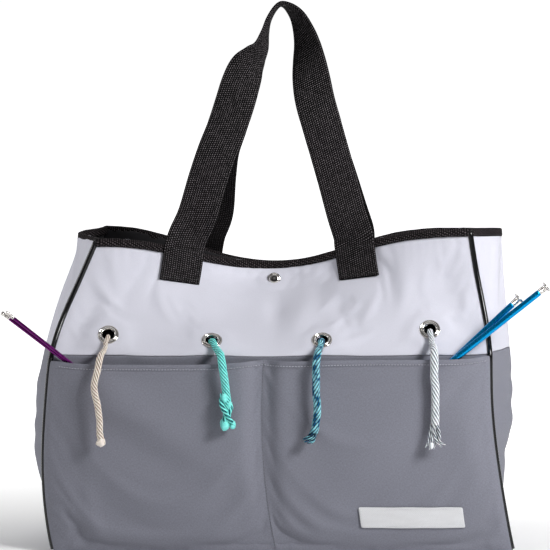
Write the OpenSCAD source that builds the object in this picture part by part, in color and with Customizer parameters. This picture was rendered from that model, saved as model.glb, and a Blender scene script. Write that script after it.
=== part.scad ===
/* Knitting bag: a two-tone fabric tote with pockets, yarn grommets, webbing handles,
   four knitting needles and four yarn tails. Millimetres. The bag stands on z = 0,
   its front faces -Y, and the origin is the centre of its base. */

/* [Bag] */
// Width of the base between the side seams
base_w = 433; // [423:5:443]
// Width between the side seams at the rim
rim_w = 352; // [346:2:362]
// Depth of the base, front to back
base_d = 180; // [176:2:184]
// Depth between the front and back seams at the rim
rim_d = 124; // [116:2:132]
// Height of the rim at the corners
rim_h = 299; // [294:1:304]
// Height of the seam between the dark and the pale fabric
seam_h = 187; // [185:1:189]
// How far the middle of the rim dips below its corners
rim_dip = 31; // [26:1:34]
// How much higher the right end of the rim is than the left
rim_tilt = 10; // [6:1:12]
// How far the sides lean over at mid height
sway = 14; // [11:1:16]
// How far the gussets swell outwards
gusset_swell = 28; // [25:1:30]
// Thickness of the fabric
cloth = 1.2; // [1:0.1:1.3]

/* [Trim] */
// Diameter of the corded piping
piping_dia = 5.2; // [4.6:0.2:5.6]
// Height of the rim binding tape
binding_h = 8; // [7:0.5:9]
// Width of the handle webbing
web_w = 38; // [36:1:40]
// Thickness of the handle webbing
web_t = 2.4; // [2:0.1:2.8]
// Height of the top of the handles
handle_top = 518; // [505:1:525]
// Outer radius of a grommet
grommet_r = 9.9; // [9.5:0.1:10.5]
// Radius of a grommet's hole
grommet_hole_r = 5.6; // [5.4:0.1:5.8]

/* [Needles and yarn] */
// Length of a needle, cap included
needle_len = 250; // [245:1:255]
// Diameter of the thin needles
thin_dia = 3; // [2.75:0.25:3.25]
// Diameter of the thick needles
thick_dia = 6; // [5.5:0.25:6]
// Diameter of a yarn tail
yarn_dia = 7.5; // [7:0.1:7.6]

/* [Hidden] */

FRONT = -1;
BACK = 1;
LEFT = -1;
RIGHT = 1;
PALE = [0.84, 0.84, 0.88];
DARK = [0.44, 0.45, 0.50];
BLACK = [0.10, 0.09, 0.10];
NICKEL = [0.78, 0.78, 0.76];

seam_v = seam_h / rim_h;        // the fabric seam as a share of the height
wall_swell = 2;                 // how much deeper the wall is at the seam than at the base
snap_gap = 5;                   // from the closing plane to each panel at the snap
snap_at = 0.77;                 // where the snap is, from the fabric seam (0) to the rim (1)
lip_lean = 13;                  // how far the closed lips lean back at the middle of the rim
bulge = 5.5;                    // how far the side seams stand out above the pocket
bulge_at = 0.68;                // height of that, as a share of the rim's
bulge_spread = 0.17;
sway_skew = 0.85;               // under 1 puts the most lean below mid height
dip_power_left = 2.2;           // higher powers keep the rim's dip nearer the middle
dip_power_right = 3;
base_swell = 4;                 // how far the gussets stand out at the base
swell_bias = 6.5;               // how much more than that the right gusset swells, and the left less
swell_top_left = 0.35;          // where the swell is full, as a share of the rim's height
swell_top_right = 0.55;
back_lift = 6;                  // how far the back of the rim rises to the left and falls to the right
pocket_gap = 14;                // how far the pocket stands off the wall
divider_x = -7;                 // the stitch line between the two pockets, before the sway
rim_shift = -7;                 // how far the middle of the rim is pulled to the left
hem_drop_left = 5.5;            // how far the pocket's hem is below the fabric seam
hem_drop_right = 0.8;
seam_gap = 0.5;                 // between a panel's edge and the trim beside it
lining_off = 2;                 // from a panel's middle to the lining's middle
lining_t = 0.8;
GROMMET_X = [-154, -56, 48, 149];        // along the wall, from the bag's middle
GROMMET_AT = [0.16, 0.13, 0.13, 0.19];   // from the fabric seam (0) to the rim (1)
epsilon = 0.002;                // step for slopes of the surfaces

// ---- small maths ----------------------------------------------------------
function unit(a) = a / norm(a);
function mix(a, b, t) = a + (b - a) * t;
function ease(t) = t <= 0 ? 0 : t >= 1 ? 1 : t * t * (3 - 2 * t);
function soft_min(t, k) = t < 1 - k ? t : t > 1 + k ? 1 : t - pow(t - 1 + k, 2) / (4 * k);
function span(n) = [for (i = [0 : n]) i / n];

// ---- the bag's surfaces ----------------------------------------------------
// u runs -1 to 1 across a wall, v runs 0 at the base to 1 at the rim.
function upper(v) = max(0, (v - seam_v) / (1 - seam_v));
function side_bulge(v) = bulge * exp(-pow((v - bulge_at) / bulge_spread, 2));
function half_w(v) = mix(base_w, rim_w, v * v) / 2 + side_bulge(v);
function lean_x(v) = -sway * sin(180 * pow(max(0, v), sway_skew));
function corner_d(v) =
    v <= seam_v
    ? base_d / 2 + wall_swell * v / seam_v
    : mix(rim_d / 2, base_d / 2 + wall_swell, pow(1 - upper(v), 3));
function middle_d(v) =
    v <= seam_v
    ? corner_d(v)
    : mix(base_d / 2 + wall_swell, snap_gap, soft_min(upper(v) / snap_at, 0.1));
function dip_power(u) = u < 0 ? dip_power_left : dip_power_right;
function rim_z(u, w) =
    rim_h - rim_dip * pow(cos(90 * u), dip_power(u)) + rim_tilt * u / 2 - back_lift * u * (1 + w) / 2;
function lip_y(u, v) = lip_lean * exp(-pow(u / 0.35, 2)) * pow(max(0, upper(v) - 0.62) / 0.38, 1.4);

function wall_mid(face, u, v) =
    let (d = mix(corner_d(v), middle_d(v), pow(cos(90 * u), 2)))
    [u * half_w(v) + lean_x(v) + rim_shift * (1 - u * u) * upper(v),
     face * d + lip_y(u, v),
     v <= seam_v ? rim_h * v : mix(seam_h, rim_z(u, face), upper(v))];

function wall_up(face, u, v) = unit(wall_mid(face, u, v + epsilon) - wall_mid(face, u, v - epsilon));
function wall_across(face, u, v) = unit(wall_mid(face, u + epsilon, v) - wall_mid(face, u - epsilon, v));
function wall_out(face, u, v) = face * unit(cross(wall_up(face, u, v), wall_across(face, u, v)));
function wall(face, u, v, out = 0) = wall_mid(face, u, v) + out * wall_out(face, u, v);

function swell_top(side) = side < 0 ? swell_top_left : swell_top_right;
function swell(side, v) =
    mix(base_swell, gusset_swell + swell_bias * side, ease(v / swell_top(side))) - side_bulge(v);
function gusset_mid(side, w, v) =
    [side * (half_w(v) + swell(side, v) * pow(cos(90 * w), 2)) + lean_x(v),
     w * corner_d(v),
     v <= seam_v ? rim_h * v : mix(seam_h, rim_z(side, w), upper(v))];
function gusset_out(side, w, v) =
    let (up = gusset_mid(side, w, v + epsilon) - gusset_mid(side, w, v - epsilon),
         back = gusset_mid(side, w + epsilon, v) - gusset_mid(side, w - epsilon, v))
    side * unit(cross(back, up));
function gusset(side, w, v, out = 0) = gusset_mid(side, w, v) + out * gusset_out(side, w, v);

// The pocket stands off the front wall, except at its edges and along the divider.
function pocket_standoff(u, v) =
    let (x = u * half_w(v) - divider_x,
         rise = 1 - pow(1 - min(1, v / seam_v), 5))
    pocket_gap * rise * (1 - pow(abs(u), 16)) * (1 - 0.75 * exp(-pow(x / 11, 2)));
function pocket(u, v, out = 0) =
    wall_mid(FRONT, u, v) + [0, -cloth - 0.3 - pocket_standoff(u, v) - out, 0];

// ---- closed solids from grids of points ------------------------------------
function patch(rows, cols, first, flip) =
    [for (r = [0 : rows - 2], c = [0 : cols - 2])
        let (a = first + r * cols + c, b = a + 1, d = a + cols, e = d + 1)
        each flip ? [[a, e, b], [a, d, e]] : [[a, b, e], [a, e, d]]];
function strip(pairs, flip) =
    [for (i = [0 : len(pairs) - 2])
        let (a = pairs[i], b = pairs[i + 1])
        each flip
        ? [[a[0], b[1], b[0]], [a[0], a[1], b[1]]]
        : [[a[0], b[0], b[1]], [a[0], b[1], a[1]]]];

// A cloth panel: two grids of the same size, the first seen clockwise from outside.
module cloth_panel(front, back) {
    rows = len(front);
    cols = len(front[0]);
    n = rows * cols;
    points = concat([for (row = front) each row], [for (row = back) each row]);
    bottom = [for (c = [0 : cols - 1]) [c, n + c]];
    top = [for (c = [0 : cols - 1]) [n - cols + c, 2 * n - cols + c]];
    start = [for (r = [0 : rows - 1]) [r * cols, n + r * cols]];
    end = [for (r = [0 : rows - 1]) [r * cols + cols - 1, n + r * cols + cols - 1]];
    polyhedron(points, concat(
        patch(rows, cols, 0, true), patch(rows, cols, n, false),
        strip(bottom, false), strip(top, true), strip(start, true), strip(end, false)),
        convexity = 8);
}

// A bar swept through rings of the same number of points; it may close on itself.
module swept(rings, closed = false) {
    sides = len(rings[0]);
    n = len(rings);
    last = closed ? n - 1 : n - 2;
    skin = [for (i = [0 : last], s = [0 : sides - 1])
        let (j = (i + 1) % n, t = (s + 1) % sides,
             a = i * sides + s, b = i * sides + t, d = j * sides + s, e = j * sides + t)
        each [[a, b, e], [a, e, d]]];
    caps = closed ? [] : concat(
        [for (s = [1 : sides - 2]) [0, s + 1, s]],
        [for (s = [1 : sides - 2]) let (a = (n - 1) * sides) [a, a + s, a + s + 1]]);
    polyhedron([for (ring = rings) each ring], concat(skin, caps), convexity = 8);
}

function tangent(path, i) = unit(path[min(i + 1, len(path) - 1)] - path[max(i - 1, 0)]);
function tube_ring(centre, along, r, sides) =
    let (a = unit(cross(along, [1, 0.03, 0.02])), b = cross(along, a))
    [for (s = [0 : sides - 1]) centre + r * (cos(360 * s / sides) * a - sin(360 * s / sides) * b)];
module tube(path, dias, sides = 8) {
    swept([for (i = [0 : len(path) - 1]) tube_ring(path[i], tangent(path, i), dias[i] / 2, sides)]);
}

// Puts a child drawn along +Z at a place, with +Z along a direction.
module aim(place, dir) {
    translate(place)
    rotate([0, acos(dir[2]), atan2(dir[1], dir[0])])
    children();
}

// ---- panels -----------------------------------------------------------------
edge_u = (piping_dia / 2 + seam_gap) / (rim_w / 2);
edge_w = (piping_dia / 2 + seam_gap) / (rim_d / 2);
under_binding = binding_h + seam_gap + 0.6;
function top_v(u, w) = 1 - under_binding / (rim_z(u, w) - seam_h) * (1 - seam_v);
seam_half = 0.3 / rim_h;
base_start = 0.8 / rim_h;

function range_of(a, b, n) = [for (t = span(n)) mix(a, b, t)];

// Heights of a panel's rows: from v0 to v1 below the fabric seam, then on up to the binding.
function rows_up(u, w, v0, lower_rows, upper_rows) =
    concat(lower_rows > 0 ? range_of(v0, seam_v - seam_half, lower_rows) : [],
           upper_rows > 0 ? range_of(seam_v + seam_half, top_v(u, w), upper_rows) : []);
function wall_grid(face, us, v0, lower_rows, upper_rows, out) =
    [for (r = [0 : len(rows_up(0, 0, v0, lower_rows, upper_rows)) - 1])
        [for (u = us) wall(face, u, rows_up(u, face, v0, lower_rows, upper_rows)[r], out)]];
function gusset_grid(side, ws, v0, lower_rows, upper_rows, out) =
    [for (r = [0 : len(rows_up(0, 0, v0, lower_rows, upper_rows)) - 1])
        [for (w = ws) gusset(side, w, rows_up(side, w, v0, lower_rows, upper_rows)[r], out)]];

module wall_panel(face, v0, lower_rows, upper_rows, cols, out, thick) {
    us = [for (u = range_of(-1 + edge_u, 1 - edge_u, cols)) face < 0 ? u : -u];
    cloth_panel(wall_grid(face, us, v0, lower_rows, upper_rows, out + thick / 2),
                wall_grid(face, us, v0, lower_rows, upper_rows, out - thick / 2));
}
module gusset_panel(side, v0, lower_rows, upper_rows, cols, out, thick) {
    ws = [for (w = range_of(-1 + edge_w, 1 - edge_w, cols)) side > 0 ? w : -w];
    cloth_panel(gusset_grid(side, ws, v0, lower_rows, upper_rows, out + thick / 2),
                gusset_grid(side, ws, v0, lower_rows, upper_rows, out - thick / 2));
}

module front_panel_lower() {
    color(DARK) wall_panel(FRONT, base_start, 3, 0, 20, 0, cloth);
}
module back_panel_lower() {
    color(DARK) wall_panel(BACK, base_start, 3, 0, 20, 0, cloth);
}
module front_panel_upper() {
    color(PALE)
    difference() {
        wall_panel(FRONT, base_start, 0, 8, 20, 0, cloth);
        grommet_holes();
        snap_hole();
    }
}
module back_panel_upper() {
    color(PALE)
    difference() {
        wall_panel(BACK, base_start, 0, 8, 20, 0, cloth);
        snap_hole();
    }
}
function hem_v(u) = seam_v - mix(hem_drop_left, hem_drop_right, ease((u + 0.4) / 0.9)) / rim_h;
function pocket_grid(out) =
    [for (k = span(8)) [for (u = pocket_us()) pocket(u, mix(base_start, hem_v(u), k), out)]];
module front_pocket() {
    color(DARK) cloth_panel(pocket_grid(cloth), pocket_grid(0));
}
// Finer steps near the side seams and the divider, where the pocket turns.
function pocket_us() =
    concat(range_of(-1 + edge_u, -0.8, 4), range_of(-0.7, -0.2, 4),
           range_of(-0.12, 0.1, 8), range_of(0.2, 0.7, 4), range_of(0.8, 1 - edge_u, 4));

module gusset_lower(side) {
    color(DARK) gusset_panel(side, base_start, 6, 0, 8, 0, cloth);
}
module gusset_upper(side) {
    color(PALE) gusset_panel(side, base_start, 0, 5, 8, 0, cloth);
}
module left_gusset_lower() { gusset_lower(LEFT); }
module right_gusset_lower() { gusset_lower(RIGHT); }
module left_gusset_upper() { gusset_upper(LEFT); }
module right_gusset_upper() { gusset_upper(RIGHT); }

// ---- base --------------------------------------------------------------------
module base_outline(inset) {
    side_y = range_of(-1, 1, 8);
    function outer(side, w) =
        side * [half_w(0) + swell(side, 0) * pow(cos(90 * w), 2) - inset, w * (base_d / 2 - inset)];
    polygon(concat([for (w = side_y) outer(RIGHT, w)], [for (w = side_y) outer(LEFT, w)]));
}
base_t = 1.6;
board_t = 2.2;
module base_panel() {
    color(DARK)
    linear_extrude(base_t) base_outline(4);
}
module base_board() {
    color([0.2, 0.2, 0.2])
    translate([0, 0, base_t + 0.2]) linear_extrude(board_t) base_outline(8);
}

// ---- lining -------------------------------------------------------------------
lining_v = (base_t + board_t + 1.6) / rim_h;
module lining_wall(face) {
    color(BLACK)
    difference() {
        wall_panel(face, lining_v, 3, 8, 20, -lining_off, lining_t);
        if (face < 0) grommet_holes();
        snap_hole();
    }
}
module lining_gusset(side) {
    color(BLACK) gusset_panel(side, lining_v, 6, 5, 8, -lining_off, lining_t);
}
module lining_front() { lining_wall(FRONT); }
module lining_back() { lining_wall(BACK); }
module lining_left() { lining_gusset(LEFT); }
module lining_right() { lining_gusset(RIGHT); }
module lining_base() {
    color(BLACK)
    translate([0, 0, base_t + board_t + 0.4]) linear_extrude(lining_t) base_outline(8);
}

// ---- piping and rim binding -----------------------------------------------------
module piping(side, face) {
    path = [for (v = range_of(0.006, top_v(side, face), 14)) wall_mid(face, side, v)];
    color(BLACK) tube(path, [for (p = path) piping_dia]);
}
module piping_front_left() { piping(LEFT, FRONT); }
module piping_front_right() { piping(RIGHT, FRONT); }
module piping_back_left() { piping(LEFT, BACK); }
module piping_back_right() { piping(RIGHT, BACK); }

binding_t = 4;
function rim_ring(p, up, along) =
    let (out = unit(cross(along, up)))
    [p + out * binding_t / 2, p - out * binding_t / 2,
     p - out * binding_t / 2 - up * binding_h, p + out * binding_t / 2 - up * binding_h];
function rim_point(k) =
    k < 1 ? wall_mid(FRONT, mix(-1, 1, k), 1)
    : k < 2 ? gusset_mid(RIGHT, mix(-1, 1, k - 1), 1)
    : k < 3 ? wall_mid(BACK, mix(1, -1, k - 2), 1)
    : gusset_mid(LEFT, mix(1, -1, k - 3), 1);
function rim_up(k) =
    k < 1 ? wall_up(FRONT, mix(-1, 1, k), 0.97)
    : k < 2 ? [0, 0, 1]
    : k < 3 ? wall_up(BACK, mix(1, -1, k - 2), 0.97)
    : [0, 0, 1];
module rim_binding() {
    long_steps = 20;
    side_steps = 6;
    long_ks = [for (i = [1 : long_steps - 1]) i / long_steps];
    side_ks = [for (i = [1 : side_steps - 1]) i / side_steps];
    ks = concat(long_ks, [for (k = side_ks) 1 + k], [for (k = long_ks) 2 + k], [for (k = side_ks) 3 + k]);
    step = 0.02;
    color(BLACK)
    swept([for (k = ks) rim_ring(rim_point(k), rim_up(k), unit(rim_point(k + step) - rim_point(k - step)))],
          closed = true);
}

// ---- grommets and snap --------------------------------------------------------
function grommet_v(i) = mix(seam_v, 1, GROMMET_AT[i]);
function grommet_u(i) = GROMMET_X[i] / half_w(grommet_v(i));
function grommet_place(i) = wall_mid(FRONT, grommet_u(i), grommet_v(i));
function grommet_dir(i) = wall_out(FRONT, grommet_u(i), grommet_v(i));
barrel_t = 0.6;
flange_off = 0.8;               // from the panel's middle to the flange's underside
washer_off = lining_off + 0.7;

module grommet_holes() {
    for (i = [0 : 3])
        aim(grommet_place(i), grommet_dir(i))
        cylinder(r = grommet_hole_r + barrel_t + 0.2, h = 20, center = true, $fn = 32);
}
// A rolled flange and its barrel, in one turned ring.
module grommets() {
    color(NICKEL)
    for (i = [0 : 3])
        aim(grommet_place(i), grommet_dir(i))
        rotate_extrude($fn = 48)
        polygon([
            [grommet_hole_r, -washer_off - 1], [grommet_hole_r + barrel_t, -washer_off - 1],
            [grommet_hole_r + barrel_t, flange_off], [grommet_r, flange_off],
            [grommet_r, flange_off + 0.5], [grommet_r - 1.2, flange_off + 1.4],
            [grommet_hole_r + 1.3, flange_off + 1.6], [grommet_hole_r, flange_off + 1]]);
}
module grommet_washers() {
    color(NICKEL)
    for (i = [0 : 3])
        aim(grommet_place(i), grommet_dir(i))
        translate([0, 0, -washer_off - 0.8])
        difference() {
            cylinder(r = grommet_r - 0.6, h = 0.8, $fn = 48);
            translate([0, 0, -1]) cylinder(r = grommet_hole_r + barrel_t + 0.1, h = 3, $fn = 48);
        }
}

snap_v = mix(seam_v, 1, snap_at);
snap_place = (wall_mid(FRONT, 0, snap_v) + wall_mid(BACK, 0, snap_v)) / 2;
snap_dir = unit(wall_out(FRONT, 0, snap_v) - wall_out(BACK, 0, snap_v));
snap_half = norm(wall_mid(FRONT, 0, snap_v) - wall_mid(BACK, 0, snap_v)) / 2 * -snap_dir[1];
module at_snap() { aim(snap_place, snap_dir) children(); }
module snap_hole() { at_snap() cylinder(r = 2.2, h = 2 * snap_half + 12, center = true, $fn = 24); }

snap_r = 6.3;
// A domed cap outside each wall, with a rivet through the cloth.
module snap_dome(sign) {
    mirror([0, 0, sign > 0 ? 0 : 1])
    translate([0, 0, snap_half + 0.9]) {
        intersection() {
            translate([0, 0, -8.2]) sphere(r = 10.6, $fn = 48);
            cylinder(r = snap_r, h = 4, $fn = 48);
        }
        translate([0, 0, -3.2]) cylinder(r = 1.9, h = 3.3, $fn = 24);
    }
}
module snap_cap() { color(NICKEL) at_snap() snap_dome(1); }
module snap_back_cap() { color(NICKEL) at_snap() snap_dome(-1); }
module snap_socket() {
    color(NICKEL)
    at_snap()
    difference() {
        translate([0, 0, 0.2]) cylinder(r = 5.6, h = snap_half - 2.9, $fn = 48);
        translate([0, 0, -1]) cylinder(r = 2.6, h = snap_half - 2, $fn = 24);
    }
}
module snap_stud() {
    color(NICKEL)
    at_snap()
    union() {
        translate([0, 0, -snap_half + 2.7]) cylinder(r = 5.6, h = snap_half - 2.9, $fn = 48);
        translate([0, 0, -0.4]) cylinder(r = 2.4, h = 1.4, $fn = 24);
    }
}

// ---- handles -------------------------------------------------------------------
// Where the legs and the feet meet the rim, from the bag's middle: [left, right].
FRONT_LEGS = [-91, 72];
BACK_LEGS = [-75, 71];
FRONT_FEET = [-97, 70];
BACK_FEET = [-79, 72];
hinge_z = 293;                  // height of the fold above the rim
leg_left_y = 39;                // how far forward or back each leg stands at the rim
leg_right_y = 27;
top_y = 21;
// Middle of the webbing from the rim to the top, as shares: [across, up, twist in degrees].
LEFT_ROUTE = [
    [0, 0, 0], [0.10, 0.09, 0], [0.21, 0.24, 0], [0.31, 0.36, 0], [0.41, 0.46, 0], [0.50, 0.57, 4],
    [0.56, 0.65, 14], [0.625, 0.72, 30], [0.71, 0.77, 52], [0.78, 0.81, 68], [0.82, 0.87, 80],
    [0.86, 0.93, 86], [0.93, 0.98, 89]
];
RIGHT_ROUTE = [
    [0, 0, 0], [0.10, 0.10, 0], [0.22, 0.24, 0], [0.34, 0.37, 0], [0.44, 0.48, 0], [0.53, 0.58, 6],
    [0.58, 0.67, 20], [0.61, 0.75, 36], [0.64, 0.82, 50], [0.69, 0.88, 60], [0.77, 0.94, 70],
    [0.88, 0.98, 80]
];
handle_mid_x = -2;
function leg_points(route, end, foot_y, face) =
    [for (p = route)
        [mix(FRONT_LEGS[end], handle_mid_x, p[0])
            + (face > 0 ? (BACK_LEGS[end] - FRONT_LEGS[end]) * (1 - ease(p[1] / 0.45)) : 0),
         face * mix(foot_y, top_y, ease(2 * p[1])),
         mix(hinge_z + 2.2, handle_top, p[1]),
         p[2]]];
function reversed(list) = [for (i = [len(list) - 1 : -1 : 0]) list[i]];
function handle_points(face) =
    concat(leg_points(LEFT_ROUTE, 0, leg_left_y, face),
           [[handle_mid_x, face * top_y, handle_top, 90]],
           reversed(leg_points(RIGHT_ROUTE, 1, leg_right_y, face)));
function xyz(p) = [p[0], p[1], p[2]];
function web_ring(p, along, twist) =
    let (a = unit(cross(along, [0, 1, 0])), b = cross(along, a),
         w = cos(twist) * a + sin(twist) * b, t = cross(along, w))
    [p + w * web_w / 2 + t * web_t / 2, p + w * web_w / 2 - t * web_t / 2,
     p - w * web_w / 2 - t * web_t / 2, p - w * web_w / 2 + t * web_t / 2];
module handle(face) {
    points = handle_points(face);
    path = [for (p = points) xyz(p)];
    last = len(path) - 1;
    color(BLACK)
    swept([for (i = [0 : last])
        web_ring(path[i], i == 0 ? [0, 0, 1] : i == last ? [0, 0, -1] : tangent(path, i), points[i][3])]);
}
module handle_front() { handle(FRONT); }
module handle_back() { handle(BACK); }

// The sewn end of a strap, following the wall below the rim.
foot_len = 34;
foot_lean = 4;                  // how far the foot's lower end is set outwards
module handle_foot(face, leg_x) {
    rows = 5;
    cols = 4;
    v_low = 1 - foot_len / (rim_z(0.45, face) - seam_h) * (1 - seam_v);
    function foot_pt(side_share, k, out) =
        let (v = mix(v_low, 1, k),
             x = leg_x + (1 - k) * (leg_x < 0 ? -foot_lean : foot_lean) + side_share * web_w / 2,
             u = (x - lean_x(v) - rim_shift * 0.8 * upper(v)) / half_w(v))
        wall(face, u, v, out);
    clear = binding_t / 2 + 0.4;
    shares = [for (s = range_of(-1, 1, cols)) face < 0 ? s : -s];
    low = [for (k = span(rows)) [for (s = shares) foot_pt(s, k, clear + web_t)]];
    high = [for (k = span(rows)) [for (s = shares) foot_pt(s, k, clear)]];
    color(BLACK) cloth_panel(low, high);
}
module foot_front_left() { handle_foot(FRONT, FRONT_FEET[0]); }
module foot_front_right() { handle_foot(FRONT, FRONT_FEET[1]); }
module foot_back_left() { handle_foot(BACK, BACK_FEET[0]); }
module foot_back_right() { handle_foot(BACK, BACK_FEET[1]); }

// ---- label ---------------------------------------------------------------------
label_w = 98;
label_h = 20;
label_x = 127;
label_z = 34;
module blank_label() {
    us = [for (x = range_of(-0.5, 0.5, 6)) (label_x + x * label_w) / half_w(0.1)];
    vs = range_of((label_z - label_h / 2) / rim_h, (label_z + label_h / 2) / rim_h, 2);
    label_off = cloth + 0.4;
    color([0.85, 0.85, 0.86])
    cloth_panel([for (v = vs) [for (u = us) pocket(u, v, label_off + 0.6)]],
                [for (v = vs) [for (u = us) pocket(u, v, label_off)]]);
}

// ---- needles ---------------------------------------------------------------------
// Each needle's line: the place where it leaves the pocket, its slope and how much is inside.
purple_1_exit = [-212.5, -96.4, seam_h];
purple_2_exit = [-208.5, -99.8, seam_h];
blue_1_exit = [164.5, -102.2, seam_h];
blue_2_exit = [164.5, -95.9, seam_h];
purple_1_slope = 37.5;
purple_2_slope = 38.5;
blue_1_slope = 38.5;
blue_2_slope = 43.5;
purple_inside = 185;
blue_1_inside = 146;
blue_2_inside = 172;
function outward(side, slope) = [side * cos(slope), 0, sin(slope)];

// The shaft starts at its tip and runs along +Z.
module needle_shaft(dia, tip_len, cap_len) {
    cylinder(r1 = 0.5, r2 = dia / 2, h = tip_len, $fn = 32);
    translate([0, 0, tip_len]) cylinder(r = dia / 2, h = needle_len - cap_len - tip_len, $fn = 32);
}
module needle(exit, side, slope, inside, dia) {
    dir = outward(side, slope);
    aim(exit - dir * inside, dir) needle_shaft(dia, 3 * dia, needle_cap_len);
}
needle_cap_len = 9;
module needle_cap(exit, side, slope, inside, dia, flange_r) {
    dir = outward(side, slope);
    aim(exit + dir * (needle_len - needle_cap_len - inside), dir)
    rotate_extrude($fn = 48)
    polygon([[0, 0.05], [dia / 2 + 0.3, 0.05], [dia / 2 + 0.3, needle_cap_len - 2.4],
             [flange_r, needle_cap_len - 1.4], [flange_r, needle_cap_len - 0.6], [0, needle_cap_len]]);
}
PURPLE = [0.36, 0.10, 0.36];
BLUE = [0.05, 0.48, 0.74];
module needle_purple_1() {
    color(PURPLE) needle(purple_1_exit, LEFT, purple_1_slope, purple_inside, thin_dia);
}
module needle_purple_2() {
    color(PURPLE) needle(purple_2_exit, LEFT, purple_2_slope, purple_inside, thin_dia);
}
module needle_blue_1() {
    color(BLUE) needle(blue_1_exit, RIGHT, blue_1_slope, blue_1_inside, thick_dia);
}
module needle_blue_2() {
    color(BLUE) needle(blue_2_exit, RIGHT, blue_2_slope, blue_2_inside, thick_dia);
}
module needle_cap_purple_1() {
    color(NICKEL) needle_cap(purple_1_exit, LEFT, purple_1_slope, purple_inside, thin_dia, 2.2);
}
module needle_cap_purple_2() {
    color(NICKEL) needle_cap(purple_2_exit, LEFT, purple_2_slope, purple_inside, thin_dia, 2.2);
}
module needle_cap_blue_1() {
    color(NICKEL) needle_cap(blue_1_exit, RIGHT, blue_1_slope, blue_1_inside, thick_dia, 5.6);
}
module needle_cap_blue_2() {
    color(NICKEL) needle_cap(blue_2_exit, RIGHT, blue_2_slope, blue_2_inside, thick_dia, 5.6);
}

// ---- yarn ------------------------------------------------------------------------
// Each tail's middle line, from its grommet's centre: out of the stopper knot behind the
// wall, through the hole, over the pocket's hem and down.
CREAM_ROUTE = [
    [1, 10, -11], [0, 6, -8], [0, 2, -5], [0, -2, -2.5], [0, -4, -1], [0, -6, -1.5], [-1, -8, -4],
    [-2, -10, -7], [-2, -13, -10], [-3, -18, -13], [-4, -24, -14], [-5, -30, -16], [-6, -34, -19],
    [-7, -37, -25], [-8, -38, -31], [-10, -38, -38], [-11, -38, -45], [-10, -38, -53], [-8, -38, -61],
    [-7, -38, -69], [-6, -38, -77], [-6, -38, -86], [-5, -38, -95]
];
TURQUOISE_ROUTE = [
    [-1, 7, -12], [0, 4, -8], [0, 1, -5], [0, -2, -2], [0, -4, 0], [1, -6, 0], [2, -9, -1],
    [3, -11, -3], [4, -14, -5], [6, -19, -7], [7, -25, -8], [9, -31, -10], [10, -36, -15],
    [11, -38, -20], [12, -38, -27], [13, -38, -34], [14, -38, -42], [15, -38, -50], [16, -38, -58],
    [15, -38, -66], [14, -38, -73]
];
TEAL_ROUTE = [
    [1, 7, -12], [0, 4, -8], [0, 1, -5], [0, -2, -2], [0, -4, 0], [-1, -6, 0], [-1, -9, -1],
    [-1, -11, -3], [-2, -14, -5], [-3, -19, -7], [-4, -25, -8], [-4, -31, -8], [-5, -35, -12],
    [-6, -38, -19], [-6, -38, -28], [-6, -38, -37], [-6, -38, -46], [-5, -38, -55], [-5, -38, -64],
    [-6, -38, -72], [-7, -38, -79], [-9, -38, -86]
];
GREY_ROUTE = [
    [0, 10, -11], [0, 6, -8], [0, 2, -5], [0, -2, -2.5], [0, -4, -1], [0, -6, -1.5], [0, -8, -4],
    [1, -10, -7], [1, -13, -10], [1, -18, -13], [2, -24, -14], [2, -30, -16], [2, -35, -19],
    [2, -38, -25], [2, -39, -32], [2, -39, -41], [3, -39, -50], [3, -39, -60], [3, -39, -70],
    [3, -39, -80], [3, -39, -89], [3, -39, -97]
];
thin_points = 7;                // points of a route that are squeezed in the hole
full_point = 13;                // the point where a tail has its full thickness again
squeezed = 0.52;                // a tail's thickness in the hole, as a share of its own
CREAM = [0.93, 0.90, 0.83];
TURQUOISE = [0.38, 0.86, 0.80];
TEAL = [0.12, 0.44, 0.56];
GREY = [0.78, 0.82, 0.83];
knot_r = 5;
stopper_r = 7;

module yarn(i, route) {
    tube([for (p = route) grommet_place(i) + p],
         [for (k = [0 : len(route) - 1])
             yarn_dia * mix(squeezed, 1, ease((k - thin_points) / (full_point - thin_points)))]);
}
module stopper(i, route) {
    behind = [0, 4, -3];
    translate(grommet_place(i) + route[0] + behind) sphere(r = stopper_r, $fn = 32);
}
module at_end(i, route) { translate(grommet_place(i) + route[len(route) - 1]) children(); }
// A tapered tuft of loose strands.
module tuft(r1, r2, length, dir) {
    aim([0, 0, 0], unit(dir)) cylinder(r1 = r1, r2 = r2, h = length, $fn = 24);
}

module yarn_cream() { color(CREAM) yarn(0, CREAM_ROUTE); }
module yarn_turquoise() { color(TURQUOISE) yarn(1, TURQUOISE_ROUTE); }
module yarn_teal() { color(TEAL) yarn(2, TEAL_ROUTE); }
module yarn_grey() { color(GREY) yarn(3, GREY_ROUTE); }
module stopper_cream() { color(CREAM) stopper(0, CREAM_ROUTE); }
module stopper_turquoise() { color(TURQUOISE) stopper(1, TURQUOISE_ROUTE); }
module stopper_teal() { color(TEAL) stopper(2, TEAL_ROUTE); }
module stopper_grey() { color(GREY) stopper(3, GREY_ROUTE); }
module yarn_end_cream() {
    color(CREAM)
    at_end(0, CREAM_ROUTE)
    translate([-1, 0, -4]) sphere(r = knot_r, $fn = 32);
}
module yarn_end_turquoise() {
    color(TURQUOISE)
    at_end(1, TURQUOISE_ROUTE)
    for (x = [-3.8, 6.5])
        translate([x, 0, -2.5]) sphere(r = knot_r, $fn = 32);
}
module yarn_end_teal() {
    color(TEAL)
    at_end(2, TEAL_ROUTE)
    tuft(3.4, 5.6, 11, [-0.7, 0, -0.7]);
}
module yarn_end_grey() {
    color(GREY)
    at_end(3, GREY_ROUTE)
    union() {
        tuft(3.4, 3, 16, [-0.12, 0, -1]);
        tuft(2.4, 1.6, 15, [0.75, 0, -0.65]);
        tuft(2.4, 1.6, 14, [-0.45, 0, -0.9]);
    }
}

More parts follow.
